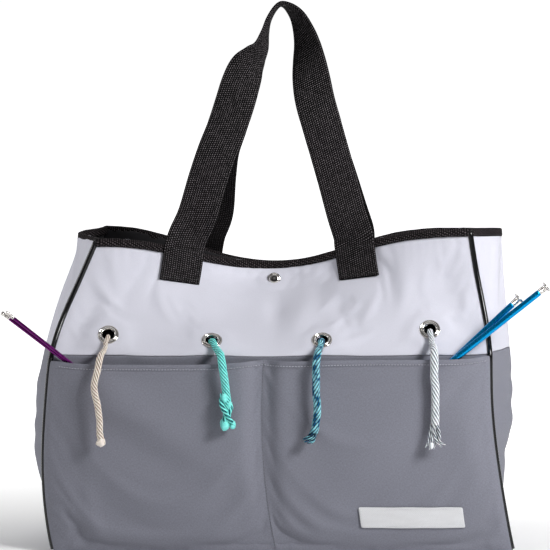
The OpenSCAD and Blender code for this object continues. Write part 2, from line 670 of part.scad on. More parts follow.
base_panel();
base_board();
front_panel_lower();
front_panel_upper();
front_pocket();
back_panel_lower();
back_panel_upper();
left_gusset_lower();
left_gusset_upper();
right_gusset_lower();
right_gusset_upper();
piping_front_left();
piping_front_right();
piping_back_left();
piping_back_right();
rim_binding();
lining_front();
lining_back();
lining_left();
lining_right();
lining_base();
grommets();
grommet_washers();
snap_cap();
snap_socket();
snap_stud();
snap_back_cap();
foot_front_left();
foot_front_right();
foot_back_left();
foot_back_right();
blank_label();
handle_front();
handle_back();
needle_purple_1();
needle_purple_2();
needle_blue_1();
needle_blue_2();
needle_cap_purple_1();
needle_cap_purple_2();
needle_cap_blue_1();
needle_cap_blue_2();
yarn_cream();
yarn_turquoise();
yarn_teal();
yarn_grey();
yarn_end_cream();
yarn_end_turquoise();
yarn_end_teal();
yarn_end_grey();
stopper_cream();
stopper_turquoise();
stopper_teal();
stopper_grey();
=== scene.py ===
"""Knitting bag: the soft shell, webbing, trim, needles and yarn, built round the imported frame."""
import math
import random

import bmesh
import bpy
import numpy as np
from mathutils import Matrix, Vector


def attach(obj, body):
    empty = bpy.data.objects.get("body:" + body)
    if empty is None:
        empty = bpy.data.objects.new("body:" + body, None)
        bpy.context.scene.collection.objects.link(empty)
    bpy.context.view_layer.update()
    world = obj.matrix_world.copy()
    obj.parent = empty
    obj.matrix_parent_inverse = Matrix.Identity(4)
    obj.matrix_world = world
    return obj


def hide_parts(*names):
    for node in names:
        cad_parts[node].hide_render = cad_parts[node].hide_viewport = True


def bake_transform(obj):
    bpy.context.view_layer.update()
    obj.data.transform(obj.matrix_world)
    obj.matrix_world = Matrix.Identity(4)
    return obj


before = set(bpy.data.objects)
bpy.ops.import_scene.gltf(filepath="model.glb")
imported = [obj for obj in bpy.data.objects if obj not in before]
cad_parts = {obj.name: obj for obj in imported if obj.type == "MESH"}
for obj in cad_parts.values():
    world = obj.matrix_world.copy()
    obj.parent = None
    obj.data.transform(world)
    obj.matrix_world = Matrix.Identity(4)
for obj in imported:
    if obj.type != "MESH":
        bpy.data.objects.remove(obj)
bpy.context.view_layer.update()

MM = 0.001
FRONT = -1
BACK = 1
LEFT = -1
RIGHT = 1

# ---- driving sizes, in millimetres, the same as the CAD part's ---------------
BASE_W = 433
RIM_W = 352
BASE_D = 180
RIM_D = 124
RIM_H = 299
SEAM_H = 187
RIM_DIP = 31
RIM_TILT = 10
SWAY = 14
GUSSET_SWELL = 28
BASE_SWELL = 4
SWELL_BIAS = 6.5
SWELL_TOP = {-1: 0.35, 1: 0.55}
CLOTH = 1.2
PIPING_DIA = 5.2
BINDING_H = 8
BINDING_T = 4
WEB_W = 38
WEB_T = 2.4
HANDLE_TOP = 518
GROMMET_R = 9.9
GROMMET_HOLE_R = 5.6
NEEDLE_LEN = 250
THIN_DIA = 3
THICK_DIA = 6
SEAM_V = SEAM_H / RIM_H
WALL_SWELL = 2
SNAP_GAP = 5
SNAP_AT = 0.77
LIP_LEAN = 13
BACK_LIFT = 6
DIP_POWER_LEFT = 2.2
DIP_POWER_RIGHT = 3
BULGE = 5.5
BULGE_AT = 0.68
BULGE_SPREAD = 0.17
SWAY_SKEW = 0.85
POCKET_GAP = 14
DIVIDER_X = -7
RIM_SHIFT = -7
HEM_DROP_LEFT = 5.5
HEM_DROP_RIGHT = 0.8
LINING_OFF = 2
GROMMET_X = (-154, -56, 48, 149)
GROMMET_AT = (0.16, 0.13, 0.13, 0.19)
YARNS = ("cream", "turquoise", "teal", "grey")
FRONT_FEET = (-97, 70)
BACK_FEET = (-79, 72)
FRONT_LEGS = (-91, 67)
BACK_LEGS = (-75, 71)


# ---- small maths ---------------------------------------------------------------
def mix(a, b, t):
    return a + (b - a) * t


def ease(t):
    t = min(1, max(0, t))
    return t * t * (3 - 2 * t)


def soft_min(t, k):
    if t < 1 - k:
        return t
    if t > 1 + k:
        return 1
    return t - (t - 1 + k) ** 2 / (4 * k)


def unit(a):
    a = np.asarray(a, float)
    return a / np.linalg.norm(a)


def dist(a, b):
    return np.linalg.norm(a - b)


def steps(a, b, n):
    return [mix(a, b, i / n) for i in range(n + 1)]


def smooth_path(points, per=6):
    """A smooth curve through the points, with per steps between each two."""
    pts = [np.asarray(p, float) for p in points]
    pts = [2 * pts[0] - pts[1]] + pts + [2 * pts[-1] - pts[-2]]
    out = []
    for i in range(1, len(pts) - 2):
        p0, p1, p2, p3 = pts[i - 1:i + 3]
        for k in range(per):
            t = k / per
            out.append(0.5 * (2 * p1 + (p2 - p0) * t + (2 * p0 - 5 * p1 + 4 * p2 - p3) * t ** 2
                              + (3 * p1 - p0 - 3 * p2 + p3) * t ** 3))
    out.append(pts[-2])
    return out


def even_path(points, step):
    """The same line with points an even step apart; anything after x, y and z is carried along."""
    pts = np.array(points, float)
    lengths = np.concatenate([[0], np.cumsum(np.linalg.norm(np.diff(pts[:, :3], axis=0), axis=1))])
    n = max(2, int(round(lengths[-1] / step)))
    at = np.linspace(0, lengths[-1], n + 1)
    return [np.array([np.interp(s, lengths, pts[:, k]) for k in range(pts.shape[1])]) for s in at]


# ---- the bag's surfaces ----------------------------------------------------------
# u runs -1 to 1 across a wall, v runs 0 at the base to 1 at the rim.
def upper(v):
    return max(0, (v - SEAM_V) / (1 - SEAM_V))


def side_bulge(v):
    return BULGE * math.exp(-((v - BULGE_AT) / BULGE_SPREAD) ** 2)


def half_w(v):
    return mix(BASE_W, RIM_W, v * v) / 2 + side_bulge(v)


def lean_x(v):
    return -SWAY * math.sin(math.pi * max(0, v) ** SWAY_SKEW)


def cos90(u):
    return max(0.0, math.cos(math.pi / 2 * u))


def corner_d(v):
    if v <= SEAM_V:
        return BASE_D / 2 + WALL_SWELL * v / SEAM_V
    return mix(RIM_D / 2, BASE_D / 2 + WALL_SWELL, (1 - upper(v)) ** 3)


def middle_d(v):
    if v <= SEAM_V:
        return corner_d(v)
    return mix(BASE_D / 2 + WALL_SWELL, SNAP_GAP, soft_min(upper(v) / SNAP_AT, 0.1))


def rim_z(u, w):
    power = DIP_POWER_LEFT if u < 0 else DIP_POWER_RIGHT
    return RIM_H - RIM_DIP * cos90(u) ** power + RIM_TILT * u / 2 - BACK_LIFT * u * (1 + w) / 2


def lip_y(u, v):
    return LIP_LEAN * math.exp(-(u / 0.35) ** 2) * (max(0, upper(v) - 0.62) / 0.38) ** 1.4


def height(u, w, v):
    return RIM_H * v if v <= SEAM_V else mix(SEAM_H, rim_z(u, w), upper(v))


def wall_mid(face, u, v):
    depth = mix(corner_d(v), middle_d(v), cos90(u) ** 2)
    return np.array([u * half_w(v) + lean_x(v) + RIM_SHIFT * (1 - u * u) * upper(v),
                     face * depth + lip_y(u, v), height(u, face, v)])


def slopes(surface, who, a, v):
    e = 0.002
    across = unit(surface(who, a + e, v) - surface(who, a - e, v))
    up = unit(surface(who, a, v + e) - surface(who, a, v - e))
    return across, up


def wall_out(face, u, v):
    across, up = slopes(wall_mid, face, u, v)
    return face * unit(np.cross(up, across))


def wall(face, u, v, out=0.0):
    return wall_mid(face, u, v) + out * wall_out(face, u, v)


def swell(side, v):
    full = GUSSET_SWELL + SWELL_BIAS * side
    return mix(BASE_SWELL, full, ease(v / SWELL_TOP[side])) - side_bulge(v)


def gusset_mid(side, w, v):
    return np.array([side * (half_w(v) + swell(side, v) * cos90(w) ** 2) + lean_x(v),
                     w * corner_d(v), height(side, w, v)])


def pocket_standoff(u, v):
    x = u * half_w(v) - DIVIDER_X
    rise = 1 - (1 - min(1, v / SEAM_V)) ** 5
    return POCKET_GAP * rise * (1 - abs(u) ** 16) * (1 - 0.75 * math.exp(-(x / 11) ** 2))


def pocket(u, v, out=0.0):
    return wall_mid(FRONT, u, v) + np.array([0, -CLOTH - 0.3 - pocket_standoff(u, v) - out, 0])


def hem_v(u):
    """How high the pocket's mouth reaches, as a share of the rim's height."""
    return SEAM_V - mix(HEM_DROP_LEFT, HEM_DROP_RIGHT, ease((u + 0.4) / 0.9)) / RIM_H


def grommet_v(i):
    return mix(SEAM_V, 1, GROMMET_AT[i])


def grommet_place(i):
    return wall_mid(FRONT, GROMMET_X[i] / half_w(grommet_v(i)), grommet_v(i))


def grommet_dir(i):
    return wall_out(FRONT, GROMMET_X[i] / half_w(grommet_v(i)), grommet_v(i))


GROMMETS = [grommet_place(i) for i in range(4)]

SNAP_V = mix(SEAM_V, 1, SNAP_AT)
SNAP_FRONT = wall_mid(FRONT, 0, SNAP_V)
SNAP_BACK = wall_mid(BACK, 0, SNAP_V)
SNAP_PLACE = (SNAP_FRONT + SNAP_BACK) / 2
SNAP_DIR = unit(wall_out(FRONT, 0, SNAP_V) - wall_out(BACK, 0, SNAP_V))
SNAP_HALF = dist(SNAP_FRONT, SNAP_BACK) / 2 * -SNAP_DIR[1]


# ---- camera ------------------------------------------------------------------------
CAMERA_DISTANCE = 2.4
CAMERA_TILT = math.radians(4)
AIM = Vector((-0.008, -0.100, 0.262))
SENSOR = 36
PIXELS_TO_METRES = 0.933 / 1000
FRAME_PIXELS = 550


def make_camera():
    data = bpy.data.cameras.new("camera")
    data.sensor_width = SENSOR
    data.lens = SENSOR * CAMERA_DISTANCE / (PIXELS_TO_METRES * FRAME_PIXELS)
    data.clip_start = 0.1
    data.clip_end = 50
    camera = bpy.data.objects.new("camera", data)
    bpy.context.collection.objects.link(camera)
    back = Vector((0, -math.cos(CAMERA_TILT), math.sin(CAMERA_TILT)))
    camera.location = AIM + back * CAMERA_DISTANCE
    camera.rotation_euler = (math.pi / 2 - CAMERA_TILT, 0, 0)
    bpy.context.scene.camera = camera


make_camera()


# ---- node helpers --------------------------------------------------------------------
class Nodes:
    """A short way to write a material's nodes."""

    def __init__(self, name, store="materials", shader="Principled BSDF"):
        self.material = getattr(bpy.data, store).new(name)
        self.material.use_nodes = True
        self.tree = self.material.node_tree
        self.shader = self.tree.nodes[shader]

    def link(self, value, socket):
        if isinstance(value, bpy.types.NodeSocket):
            self.tree.links.new(value, socket)
        else:
            socket.default_value = value

    def node(self, kind, inputs=(), **settings):
        made = self.tree.nodes.new(kind)
        for key, value in settings.items():
            setattr(made, key, value)
        for key, value in dict(inputs).items():
            self.link(value, made.inputs[key])
        return made

    def math(self, operation, a, b=0.0):
        return self.node("ShaderNodeMath", {0: a, 1: b}, operation=operation).outputs[0]

    def times(self, a, b):
        return self.math("MULTIPLY", a, b)

    def plus(self, a, b):
        return self.math("ADD", a, b)

    def floor(self, value):
        return self.math("FLOOR", value)

    def wave(self, value, speed):
        return self.math("SINE", self.times(value, speed))

    def hump(self, value):
        """One half wave over each whole step of the value."""
        return self.wave(self.math("FRACT", value), math.pi)

    def pair(self, a, b=0.0):
        return self.node("ShaderNodeCombineXYZ", {0: a, 1: b}).outputs[0]

    def coords(self, source="UV"):
        return self.node("ShaderNodeTexCoord").outputs[source]

    def split(self, vector):
        made = self.node("ShaderNodeSeparateXYZ", {0: vector})
        return made.outputs[0], made.outputs[1], made.outputs[2]

    def noise(self, vector, scale, detail=3.0, roughness=0.55):
        return self.node("ShaderNodeTexNoise", {"Vector": vector, "Scale": scale, "Detail": detail,
                                                "Roughness": roughness}).outputs["Fac"]

    def stretched(self, vector, scale):
        return self.node("ShaderNodeMapping", {"Vector": vector, "Scale": scale}).outputs[0]

    def ramp(self, value, low, high, a, b):
        return self.node("ShaderNodeMapRange", {"Value": value, "From Min": low, "From Max": high,
                                                "To Min": a, "To Max": b}).outputs[0]

    def mix_colour(self, factor, a, b, blend="MIX"):
        made = self.node("ShaderNodeMix", data_type="RGBA", blend_type=blend)
        self.link(factor, made.inputs[0])
        self.link(a, made.inputs[6])
        self.link(b, made.inputs[7])
        return made.outputs[2]

    def bump(self, height, distance, strength=1.0):
        made = self.node("ShaderNodeBump", {"Height": height, "Distance": distance, "Strength": strength})
        self.link(made.outputs[0], self.shader.inputs["Normal"])

    def finish(self, **values):
        for key, value in values.items():
            self.link(value, self.shader.inputs[key.replace("_", " ")])
        return self.material


def rgb(r, g, b):
    """A shader colour from a screen colour, each channel 0 to 255."""
    def linear(c):
        c = c / 255
        return c / 12.92 if c <= 0.04045 else ((c + 0.055) / 1.055) ** 2.4
    return (linear(r), linear(g), linear(b), 1.0)


def shade(colour, factor):
    return tuple(min(1.0, c * factor) for c in colour[:3]) + (1.0,)


def plain_weave(n, pitch):
    """Height of a plain weave of that pitch in metres, and which thread is on top."""
    x, y, _ = n.split(n.coords())
    a = n.times(x, 1 / pitch)
    b = n.times(y, 1 / pitch)
    warp = n.hump(a)
    weft = n.hump(b)
    parity = n.math("MODULO", n.math("ABSOLUTE", n.plus(n.floor(a), n.floor(b))), 2.0)
    over = n.times(warp, n.plus(0.35, n.times(parity, 0.65)))
    under = n.times(weft, n.math("SUBTRACT", 1.0, n.times(parity, 0.65)))
    return n.math("MAXIMUM", over, under), parity


def bag_fabric(name, colour, speckle, roughness, sheen, pitch=0.0008):
    """Fine woven polyester: crossed threads that differ a little, painted shade in the hollows of the weave,
    and a faint unevenness.
    """
    n = Nodes(name)
    place = n.coords("Object")
    cloth = n.coords()
    height, _ = plain_weave(n, pitch)
    thread = n.noise(n.stretched(cloth, (1500, 500, 1)), 1.0, 2.0)
    cross = n.noise(n.stretched(cloth, (500, 1500, 1)), 1.0, 2.0)
    threads = n.plus(thread, cross)
    soil = n.noise(place, 14.0, 4.0)
    mixed = n.ramp(threads, 0.7, 1.3, 0.0, 1.0)
    tone = n.mix_colour(mixed, shade(colour, 1 - speckle), shade(colour, 1 + speckle))
    # Painted shade: the low parts of the weave are a little darker.
    tone = n.mix_colour(n.ramp(height, 0.2, 1.0, 0.3, 0.0), tone, shade(colour, 0.7))
    tone = n.mix_colour(n.ramp(soil, 0.35, 0.7, 0.0, 0.08), tone, shade(colour, 0.86))
    n.bump(n.plus(height, n.times(threads, 0.6)), 0.0001, 0.5)
    return n.finish(Base_Color=tone, Roughness=n.ramp(threads, 0.7, 1.3, roughness - 0.06, roughness + 0.06),
                    Sheen_Weight=sheen, Sheen_Roughness=0.5, Specular_IOR_Level=0.25)


def webbing_material(name, colour, float_highlight, across, along, step=0.5):
    """Coarse twill tape: raised floats in columns, each column set up by a share of the pitch, painted dark
    between the floats and light on their crests.
    """
    n = Nodes(name)
    x, y, _ = n.split(n.coords())
    column = n.times(x, 1 / across)
    shift = n.times(n.floor(column), -step)
    cell = n.plus(n.times(y, 1 / along), shift)
    bulge = n.times(n.hump(cell),
                   n.hump(column))
    key = n.pair(n.floor(cell), n.floor(column))
    chance = n.node("ShaderNodeTexWhiteNoise", {"Vector": key}, noise_dimensions="3D").outputs["Value"]
    grain = n.noise(n.coords("Object"), 1100.0, 2.0)
    # Painted shade between the floats, lighter towards each float's crest.
    tone = n.mix_colour(n.ramp(bulge, 0.15, 0.85, 0.0, 1.0), shade(colour, 0.25), shade(colour, 1.2))
    # Painted highlight: the crest of each float takes the float_highlight colour, more on some floats than
    # on others.
    lit = n.times(n.ramp(bulge, 0.5, 0.95, 0.0, 1.0), n.ramp(chance, 0.0, 1.0, 0.4, 1.0))
    tone = n.mix_colour(lit, tone, float_highlight)
    n.bump(n.plus(bulge, n.times(grain, 0.15)), 0.0006, 0.9)
    return n.finish(Base_Color=tone, Roughness=n.ramp(bulge, 0.0, 1.0, 0.9, 0.7), Specular_IOR_Level=0.1)


def ribbed_tape(name, colour, pitch, shine):
    """Narrow tape or thread with a rib every pitch metres."""
    n = Nodes(name)
    x, _, _ = n.split(n.coords())
    rib = n.wave(x, 2 * math.pi / pitch)
    fine = n.noise(n.coords("Object"), 1400.0, 2.0)
    # Painted shade in the troughs between ribs and painted highlight on the ribs' crests.
    tone = n.mix_colour(n.ramp(rib, -1.0, 1.0, 0.0, 1.0), shade(colour, 0.55), shade(colour, 1.5))
    tone = n.mix_colour(n.ramp(fine, 0.4, 0.7, 0.0, 0.25), tone, shade(colour, 3.0))
    n.bump(n.plus(rib, n.times(fine, 0.5)), 0.0002, 0.8)
    return n.finish(Base_Color=tone, Roughness=n.ramp(fine, 0.3, 0.7, 0.75 - shine, 0.9 - shine),
                    Specular_IOR_Level=0.4, Sheen_Weight=0.08)


def covered_cord(name, colour, pitch):
    """Smooth black cover over a cord: a faint slant weave under a gloss that breaks up a little."""
    n = Nodes(name)
    x, y, _ = n.split(n.coords())
    slant = n.plus(n.times(x, 1 / pitch), n.times(y, 0.6 / pitch))
    weave = n.wave(slant, 2 * math.pi)
    wear = n.noise(n.coords("Object"), 260.0, 3.0)
    # Painted shade in the low lines of the slant weave and painted highlight on its raised lines.
    tone = n.mix_colour(n.ramp(weave, -1.0, 1.0, 0.0, 1.0), shade(colour, 0.6), shade(colour, 1.4))
    tone = n.mix_colour(n.ramp(wear, 0.5, 0.75, 0.0, 0.3), tone, shade(colour, 3.0))
    n.bump(n.plus(weave, wear), 0.00003, 0.3)
    return n.finish(Base_Color=tone, Roughness=n.ramp(wear, 0.3, 0.7, 0.12, 0.2), Specular_IOR_Level=0.5)


def yarn_material(name, dark, light, accent, groove, run=12.0):
    """Spun yarn: fibres that turn along each strand, painted shade between strands, colour that drifts.

    The accent comes and goes along each strand, about run millimetres at a time.
    """
    n = Nodes(name)
    x, y, _ = n.split(n.coords())
    turn = n.times(y, 100.0)
    outward = n.times(n.math("COSINE", n.times(turn, 2 * math.pi)), -1.0)
    wound = n.plus(turn, n.times(x, 120.0))
    fibre = n.noise(n.pair(n.times(x, 90.0), n.times(wound, 9.0)), 1.0, 3.0)
    drift = n.noise(n.pair(n.times(x, 1000.0 / run)), 1.0, 1.0)
    tone = n.mix_colour(n.ramp(fibre, 0.3, 0.7, 0.0, 1.0), dark, light)
    tone = n.mix_colour(n.ramp(drift, 0.45, 0.58, 0.0, 1.0), tone, accent)
    # Painted shade between strands: each strand turns to the groove colour on its side that faces the rope's
    # middle.
    tone = n.mix_colour(n.ramp(outward, 0.25, 0.95, 1.0, 0.0), tone, groove)
    n.bump(fibre, 0.0003, 0.7)
    return n.finish(Base_Color=tone, Roughness=0.9, Sheen_Weight=0.2, Sheen_Roughness=0.4,
                    Specular_IOR_Level=0.1, Subsurface_Weight=0.04, Subsurface_Scale=0.0015)


def metal_material(name, colour, roughness, grain, rings=0.0):
    """Plated metal, a little scuffed; rings is how much painted shade darkens the grooves of a turned shape.
    """
    n = Nodes(name)
    place = n.coords("Object")
    scuff = n.noise(place, grain, 4.0)
    smear = n.noise(place, 60.0, 3.0)
    tone = n.mix_colour(n.ramp(smear, 0.35, 0.7, 0.0, 0.3), colour, shade(colour, 0.7))
    # Painted shade: dark rings at every twelfth point of a lathe's profile, down to six hundredths of the
    # colour.
    _, across, _ = n.split(n.coords())
    groove = n.math("POWER", n.math("ABSOLUTE", n.wave(across, math.pi / 0.012)), 0.6)
    tone = n.mix_colour(n.ramp(groove, 0.1, 0.75, rings, 0.0), tone, shade(colour, 0.06))
    n.bump(scuff, 0.00003, 0.4)
    return n.finish(Base_Color=tone, Metallic=1.0,
                    Roughness=n.ramp(scuff, 0.3, 0.7, roughness * 0.7, roughness * 1.4))


def label_material(name):
    n = Nodes(name)
    height, parity = plain_weave(n, 0.0009)
    # Painted shade: the low parts of the weave are darker.
    tone = n.mix_colour(n.ramp(height, 0.2, 1.0, 0.0, 1.0), rgb(196, 197, 200), rgb(228, 228, 230))
    tone = n.mix_colour(n.times(parity, 0.12), tone, rgb(180, 182, 190))
    n.bump(height, 0.00015, 0.8)
    return n.finish(Base_Color=tone, Roughness=0.55, Sheen_Weight=0.2, Specular_IOR_Level=0.4)


def board_material(name):
    n = Nodes(name)
    grain = n.noise(n.coords("Object"), 220.0, 4.0)
    tone = n.mix_colour(grain, rgb(30, 30, 32), rgb(48, 48, 50))
    n.bump(grain, 0.0002, 0.6)
    return n.finish(Base_Color=tone, Roughness=n.ramp(grain, 0.3, 0.7, 0.6, 0.8))


def floor_material(name):
    """Plain white; it glows behind the bag, as a lit studio floor does, and wider the further back."""
    n = Nodes(name)
    cloud = n.noise(n.coords("Object"), 1.3, 3.0)
    tone = n.mix_colour(cloud, rgb(250, 250, 250), rgb(255, 255, 255))
    x, y, _ = n.split(n.coords("Object"))
    behind = n.ramp(y, -0.05, 0.6, 0.0, 0.95)
    spread = n.times(n.math("MAXIMUM", y, 0.0), 0.13)
    centre = n.ramp(n.math("SUBTRACT", n.math("ABSOLUTE", x), spread), 0.65, 1.1, 1.0, 0.1)
    return n.finish(Base_Color=tone, Roughness=n.ramp(cloud, 0.2, 0.8, 0.8, 0.9),
                    Emission_Color=tone, Emission_Strength=n.times(behind, centre))


FLOAT_W = 0.0021
FLOAT_LEN = 0.0020
FLOAT_STEP = -0.35
THREAD_RIB = 0.0006
# Name, maker and the maker's settings.
LOOK_TABLE = [
    ("dark_fabric", bag_fabric, rgb(124, 125, 136), 0.17, 0.78, 0.10),
    ("pale_fabric", bag_fabric, rgb(211, 211, 222), 0.03, 0.60, 0.08),
    ("lining_fabric", bag_fabric, rgb(34, 33, 36), 0.12, 0.75, 0.10),
    ("board", board_material),
    ("piping", covered_cord, rgb(7, 7, 9), 0.0009),
    # For the tapes the second colour is the painted highlight on the floats' crests.
    ("binding_tape", webbing_material, rgb(18, 15, 16), rgb(96, 88, 91), FLOAT_W, FLOAT_W, FLOAT_STEP),
    ("webbing", webbing_material, rgb(8, 7, 8), rgb(114, 108, 111), FLOAT_W, FLOAT_LEN, FLOAT_STEP),
    # The back strap: the same webbing darker all over, painted shade for a strap that sits in shadow.
    ("webbing_inside", webbing_material, rgb(5, 4, 5), rgb(54, 50, 52), FLOAT_W, FLOAT_LEN, FLOAT_STEP),
    # Nickel's last number paints dark rings of shade in its turned grooves.
    ("nickel", metal_material, rgb(234, 230, 226), 0.10, 500.0, 0.95),
    ("purple_metal", metal_material, rgb(112, 34, 112), 0.22, 700.0),
    ("blue_metal", metal_material, rgb(14, 148, 210), 0.28, 700.0),
    ("label_fabric", label_material),
    # For the yarns the last colour is the painted shade between the strands.
    ("yarn_cream", yarn_material, rgb(232, 218, 204), rgb(254, 247, 238), rgb(246, 236, 226),
     rgb(150, 124, 104)),
    ("yarn_turquoise", yarn_material, rgb(92, 226, 214), rgb(170, 255, 250), rgb(134, 246, 238),
     rgb(0, 104, 108)),
    ("yarn_teal", yarn_material, rgb(104, 186, 202), rgb(176, 236, 244), rgb(14, 84, 124), rgb(0, 10, 34),
     8.0),
    ("yarn_grey", yarn_material, rgb(214, 220, 226), rgb(250, 252, 254), rgb(236, 240, 244),
     rgb(96, 101, 112)),
    ("thread_dark", ribbed_tape, rgb(92, 93, 100), THREAD_RIB, 0.2),
    ("thread_light", ribbed_tape, rgb(176, 177, 188), THREAD_RIB, 0.2),
    ("thread_black", ribbed_tape, rgb(20, 20, 22), THREAD_RIB, 0.2),
    ("thread_pale", ribbed_tape, rgb(206, 206, 212), THREAD_RIB, 0.2),
]
LOOKS = {name: maker(name, *settings) for name, maker, *settings in LOOK_TABLE}
SLOT_OF_THREAD = {
    "thread_dark": "dark_fabric",
    "thread_light": "dark_fabric",
    "thread_black": "webbing",
    "thread_pale": "label_fabric",
}


# ---- meshes ---------------------------------------------------------------------------
class Build:
    """Collects points in millimetres, faces and UVs in metres, and makes one object."""

    def __init__(self):
        self.points = []
        self.faces = []
        self.uvs = []

    def grid(self, rows, uv_rows, close_columns=False):
        first = len(self.points)
        cols = len(rows[0])
        for row in rows:
            self.points.extend([tuple(p) for p in row])
        last = cols if close_columns else cols - 1
        for r in range(len(rows) - 1):
            for c in range(last):
                d = (c + 1) % cols
                a = first + r * cols
                self.faces.append((a + c, a + d, a + cols + d, a + cols + c))
                self.uvs.append([uv_rows[r][c], uv_rows[r][c + 1], uv_rows[r + 1][c + 1], uv_rows[r + 1][c]])

    def close_ends(self, first, rings, sides, uv, first_backwards=True):
        """A flat face at each end of a run of rings."""
        for ring, backwards in ((0, first_backwards), (rings - 1, not first_backwards)):
            corners = [first + ring * sides + s for s in range(sides)]
            self.faces.append(tuple(corners[::-1] if backwards else corners))
            self.uvs.append([uv] * sides)

    def tube(self, path, radius, sides=12, inward=None, length=0.0):
        """A round tube along the path; radius is a number or one per point.

        Each ring starts on its inward side where that is given, and then a whole turn is 10 mm of UV.
        The UV runs along the tube from length, so two tubes needn't share the same stretch of pattern.
        """
        path = [np.asarray(p, float) for p in path]
        n = len(path)
        radii = radius if hasattr(radius, "__len__") else [radius] * n
        along = [unit(path[min(i + 1, n - 1)] - path[max(i - 1, 0)]) for i in range(n)]
        side = unit(np.cross(along[0], [0.31, 0.11, 0.94]))
        rows = []
        uv_rows = []
        around = 2 * math.pi * max(radii) * MM if inward is None else 0.01
        for i in range(n):
            if inward is not None:
                side = inward[i]
            side = unit(side - along[i] * np.dot(side, along[i]))
            other = np.cross(along[i], side)
            if i:
                length += dist(path[i], path[i - 1]) * MM
            ring = []
            for s in range(sides):
                t = 2 * math.pi * s / sides
                ring.append(path[i] + radii[i] * (math.cos(t) * side - math.sin(t) * other))
            rows.append(ring)
            uv_rows.append([(length, around * s / sides) for s in range(sides + 1)])
        first = len(self.points)
        self.grid(rows, uv_rows, close_columns=True)
        self.close_ends(first, n, sides, (length, 0.005))

    def lathe(self, profile, place, direction, segments=48):
        """Turns (radius, height) points about a direction; a closed profile makes a ring."""
        axis = unit(direction)
        side = unit(np.cross(axis, [0.2, 0.9, 0.37]))
        other = np.cross(axis, side)
        rows = []
        uv_rows = []
        for k, (r, h) in enumerate(profile):
            ring = []
            for s in range(segments):
                t = 2 * math.pi * s / segments
                ring.append(np.asarray(place) + axis * h + r * (math.cos(t) * side + math.sin(t) * other))
            rows.append(ring)
            # The UV steps 1 mm a profile point; the nickel look's painted rings of shade follow it.
            uv_rows.append([(s / segments * 0.03, k * 0.001) for s in range(segments + 1)])
        self.grid(rows, uv_rows, close_columns=True)

    def make(self, name, look):
        mesh = bpy.data.meshes.new(name)
        mesh.from_pydata([tuple(float(c) * MM for c in p) for p in self.points], [], self.faces)
        layer = mesh.uv_layers.new(name="cloth")
        flat = [c for face in self.uvs for uv in face for c in uv]
        layer.data.foreach_set("uv", flat)
        mesh.materials.append(LOOKS[look])
        mesh.polygons.foreach_set("use_smooth", [True] * len(mesh.polygons))
        mesh.validate()
        mesh.update()
        obj = bpy.data.objects.new(name, mesh)
        bpy.context.collection.objects.link(obj)
        return obj


WELD_DISTANCE = 0.00002


def welded(obj):
    """Joins points that share a place, such as a lathe's poles, and turns the faces outward."""
    made = bmesh.new()
    made.from_mesh(obj.data)
    bmesh.ops.remove_doubles(made, verts=made.verts, dist=WELD_DISTANCE)
    bmesh.ops.recalc_face_normals(made, faces=made.faces)
    made.to_mesh(obj.data)
    made.free()
    return obj


def subdivided(obj, levels=1):
    made = obj.modifiers.new("smooth", "SUBSURF")
    made.levels = levels
    made.render_levels = levels
    made.uv_smooth = "PRESERVE_BOUNDARIES"
    return obj


def thick(obj, thickness):
    """Gives a surface its thickness, half to each side."""
    made = obj.modifiers.new("thick", "SOLIDIFY")
    made.thickness = thickness * MM
    made.offset = 0.0
    return obj


def placed(obj, body, slot, *nodes):
    """Puts a piece on its body and hides the frame's nodes that it stands for; slot is not used."""
    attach(obj, body)
    if nodes:
        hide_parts(*nodes)
    return obj


def sewn(build, name, look, thickness, *nodes):
    """A piece of the bag's cloth."""
    obj = build.make(name, look)
    thick(obj, thickness)
    subdivided(obj)
    return placed(obj, "bag", look, *nodes)


def turned(name, look, body, node, profile, place, way, segments=48):
    """A piece turned on a lathe."""
    build = Build()
    build.lathe(profile, place, way, segments)
    return placed(welded(build.make(name, look)), body, look, node)


def arc(centre, radii, start, end, n):
    """Part of an ellipse in a lathe profile, between two angles."""
    return [(centre[0] + radii[0] * math.cos(t), centre[1] + radii[1] * math.sin(t))
            for t in steps(start, end, n)]


# Along a stitch: share of its length, rise and thickness as shares of the thread's radius.
STITCH_SHAPE = [(0, -0.25, 0.5), (0.2, 0.15, 0.9), (0.5, 0.3, 1.0), (0.8, 0.15, 0.9), (1, -0.25, 0.5)]


def stitch_row(name, points, normals, look, pitch=2.8, length=1.9, radius=0.32):
    """A line of short raised stitches along the points."""
    build = Build()
    line = even_path([np.concatenate([p, q]) for p, q in zip(points, normals)], pitch)
    for i in range(len(line) - 1):
        a = line[i][:3]
        along = unit(line[i + 1][:3] - a)
        out = unit(line[i][3:])
        path = []
        sizes = []
        for t, lift, size in STITCH_SHAPE:
            path.append(a + along * length * t + out * lift * radius)
            sizes.append(radius * size)
        build.tube(path, sizes, sides=6)
    return placed(build.make(name, look), "bag", SLOT_OF_THREAD[look])


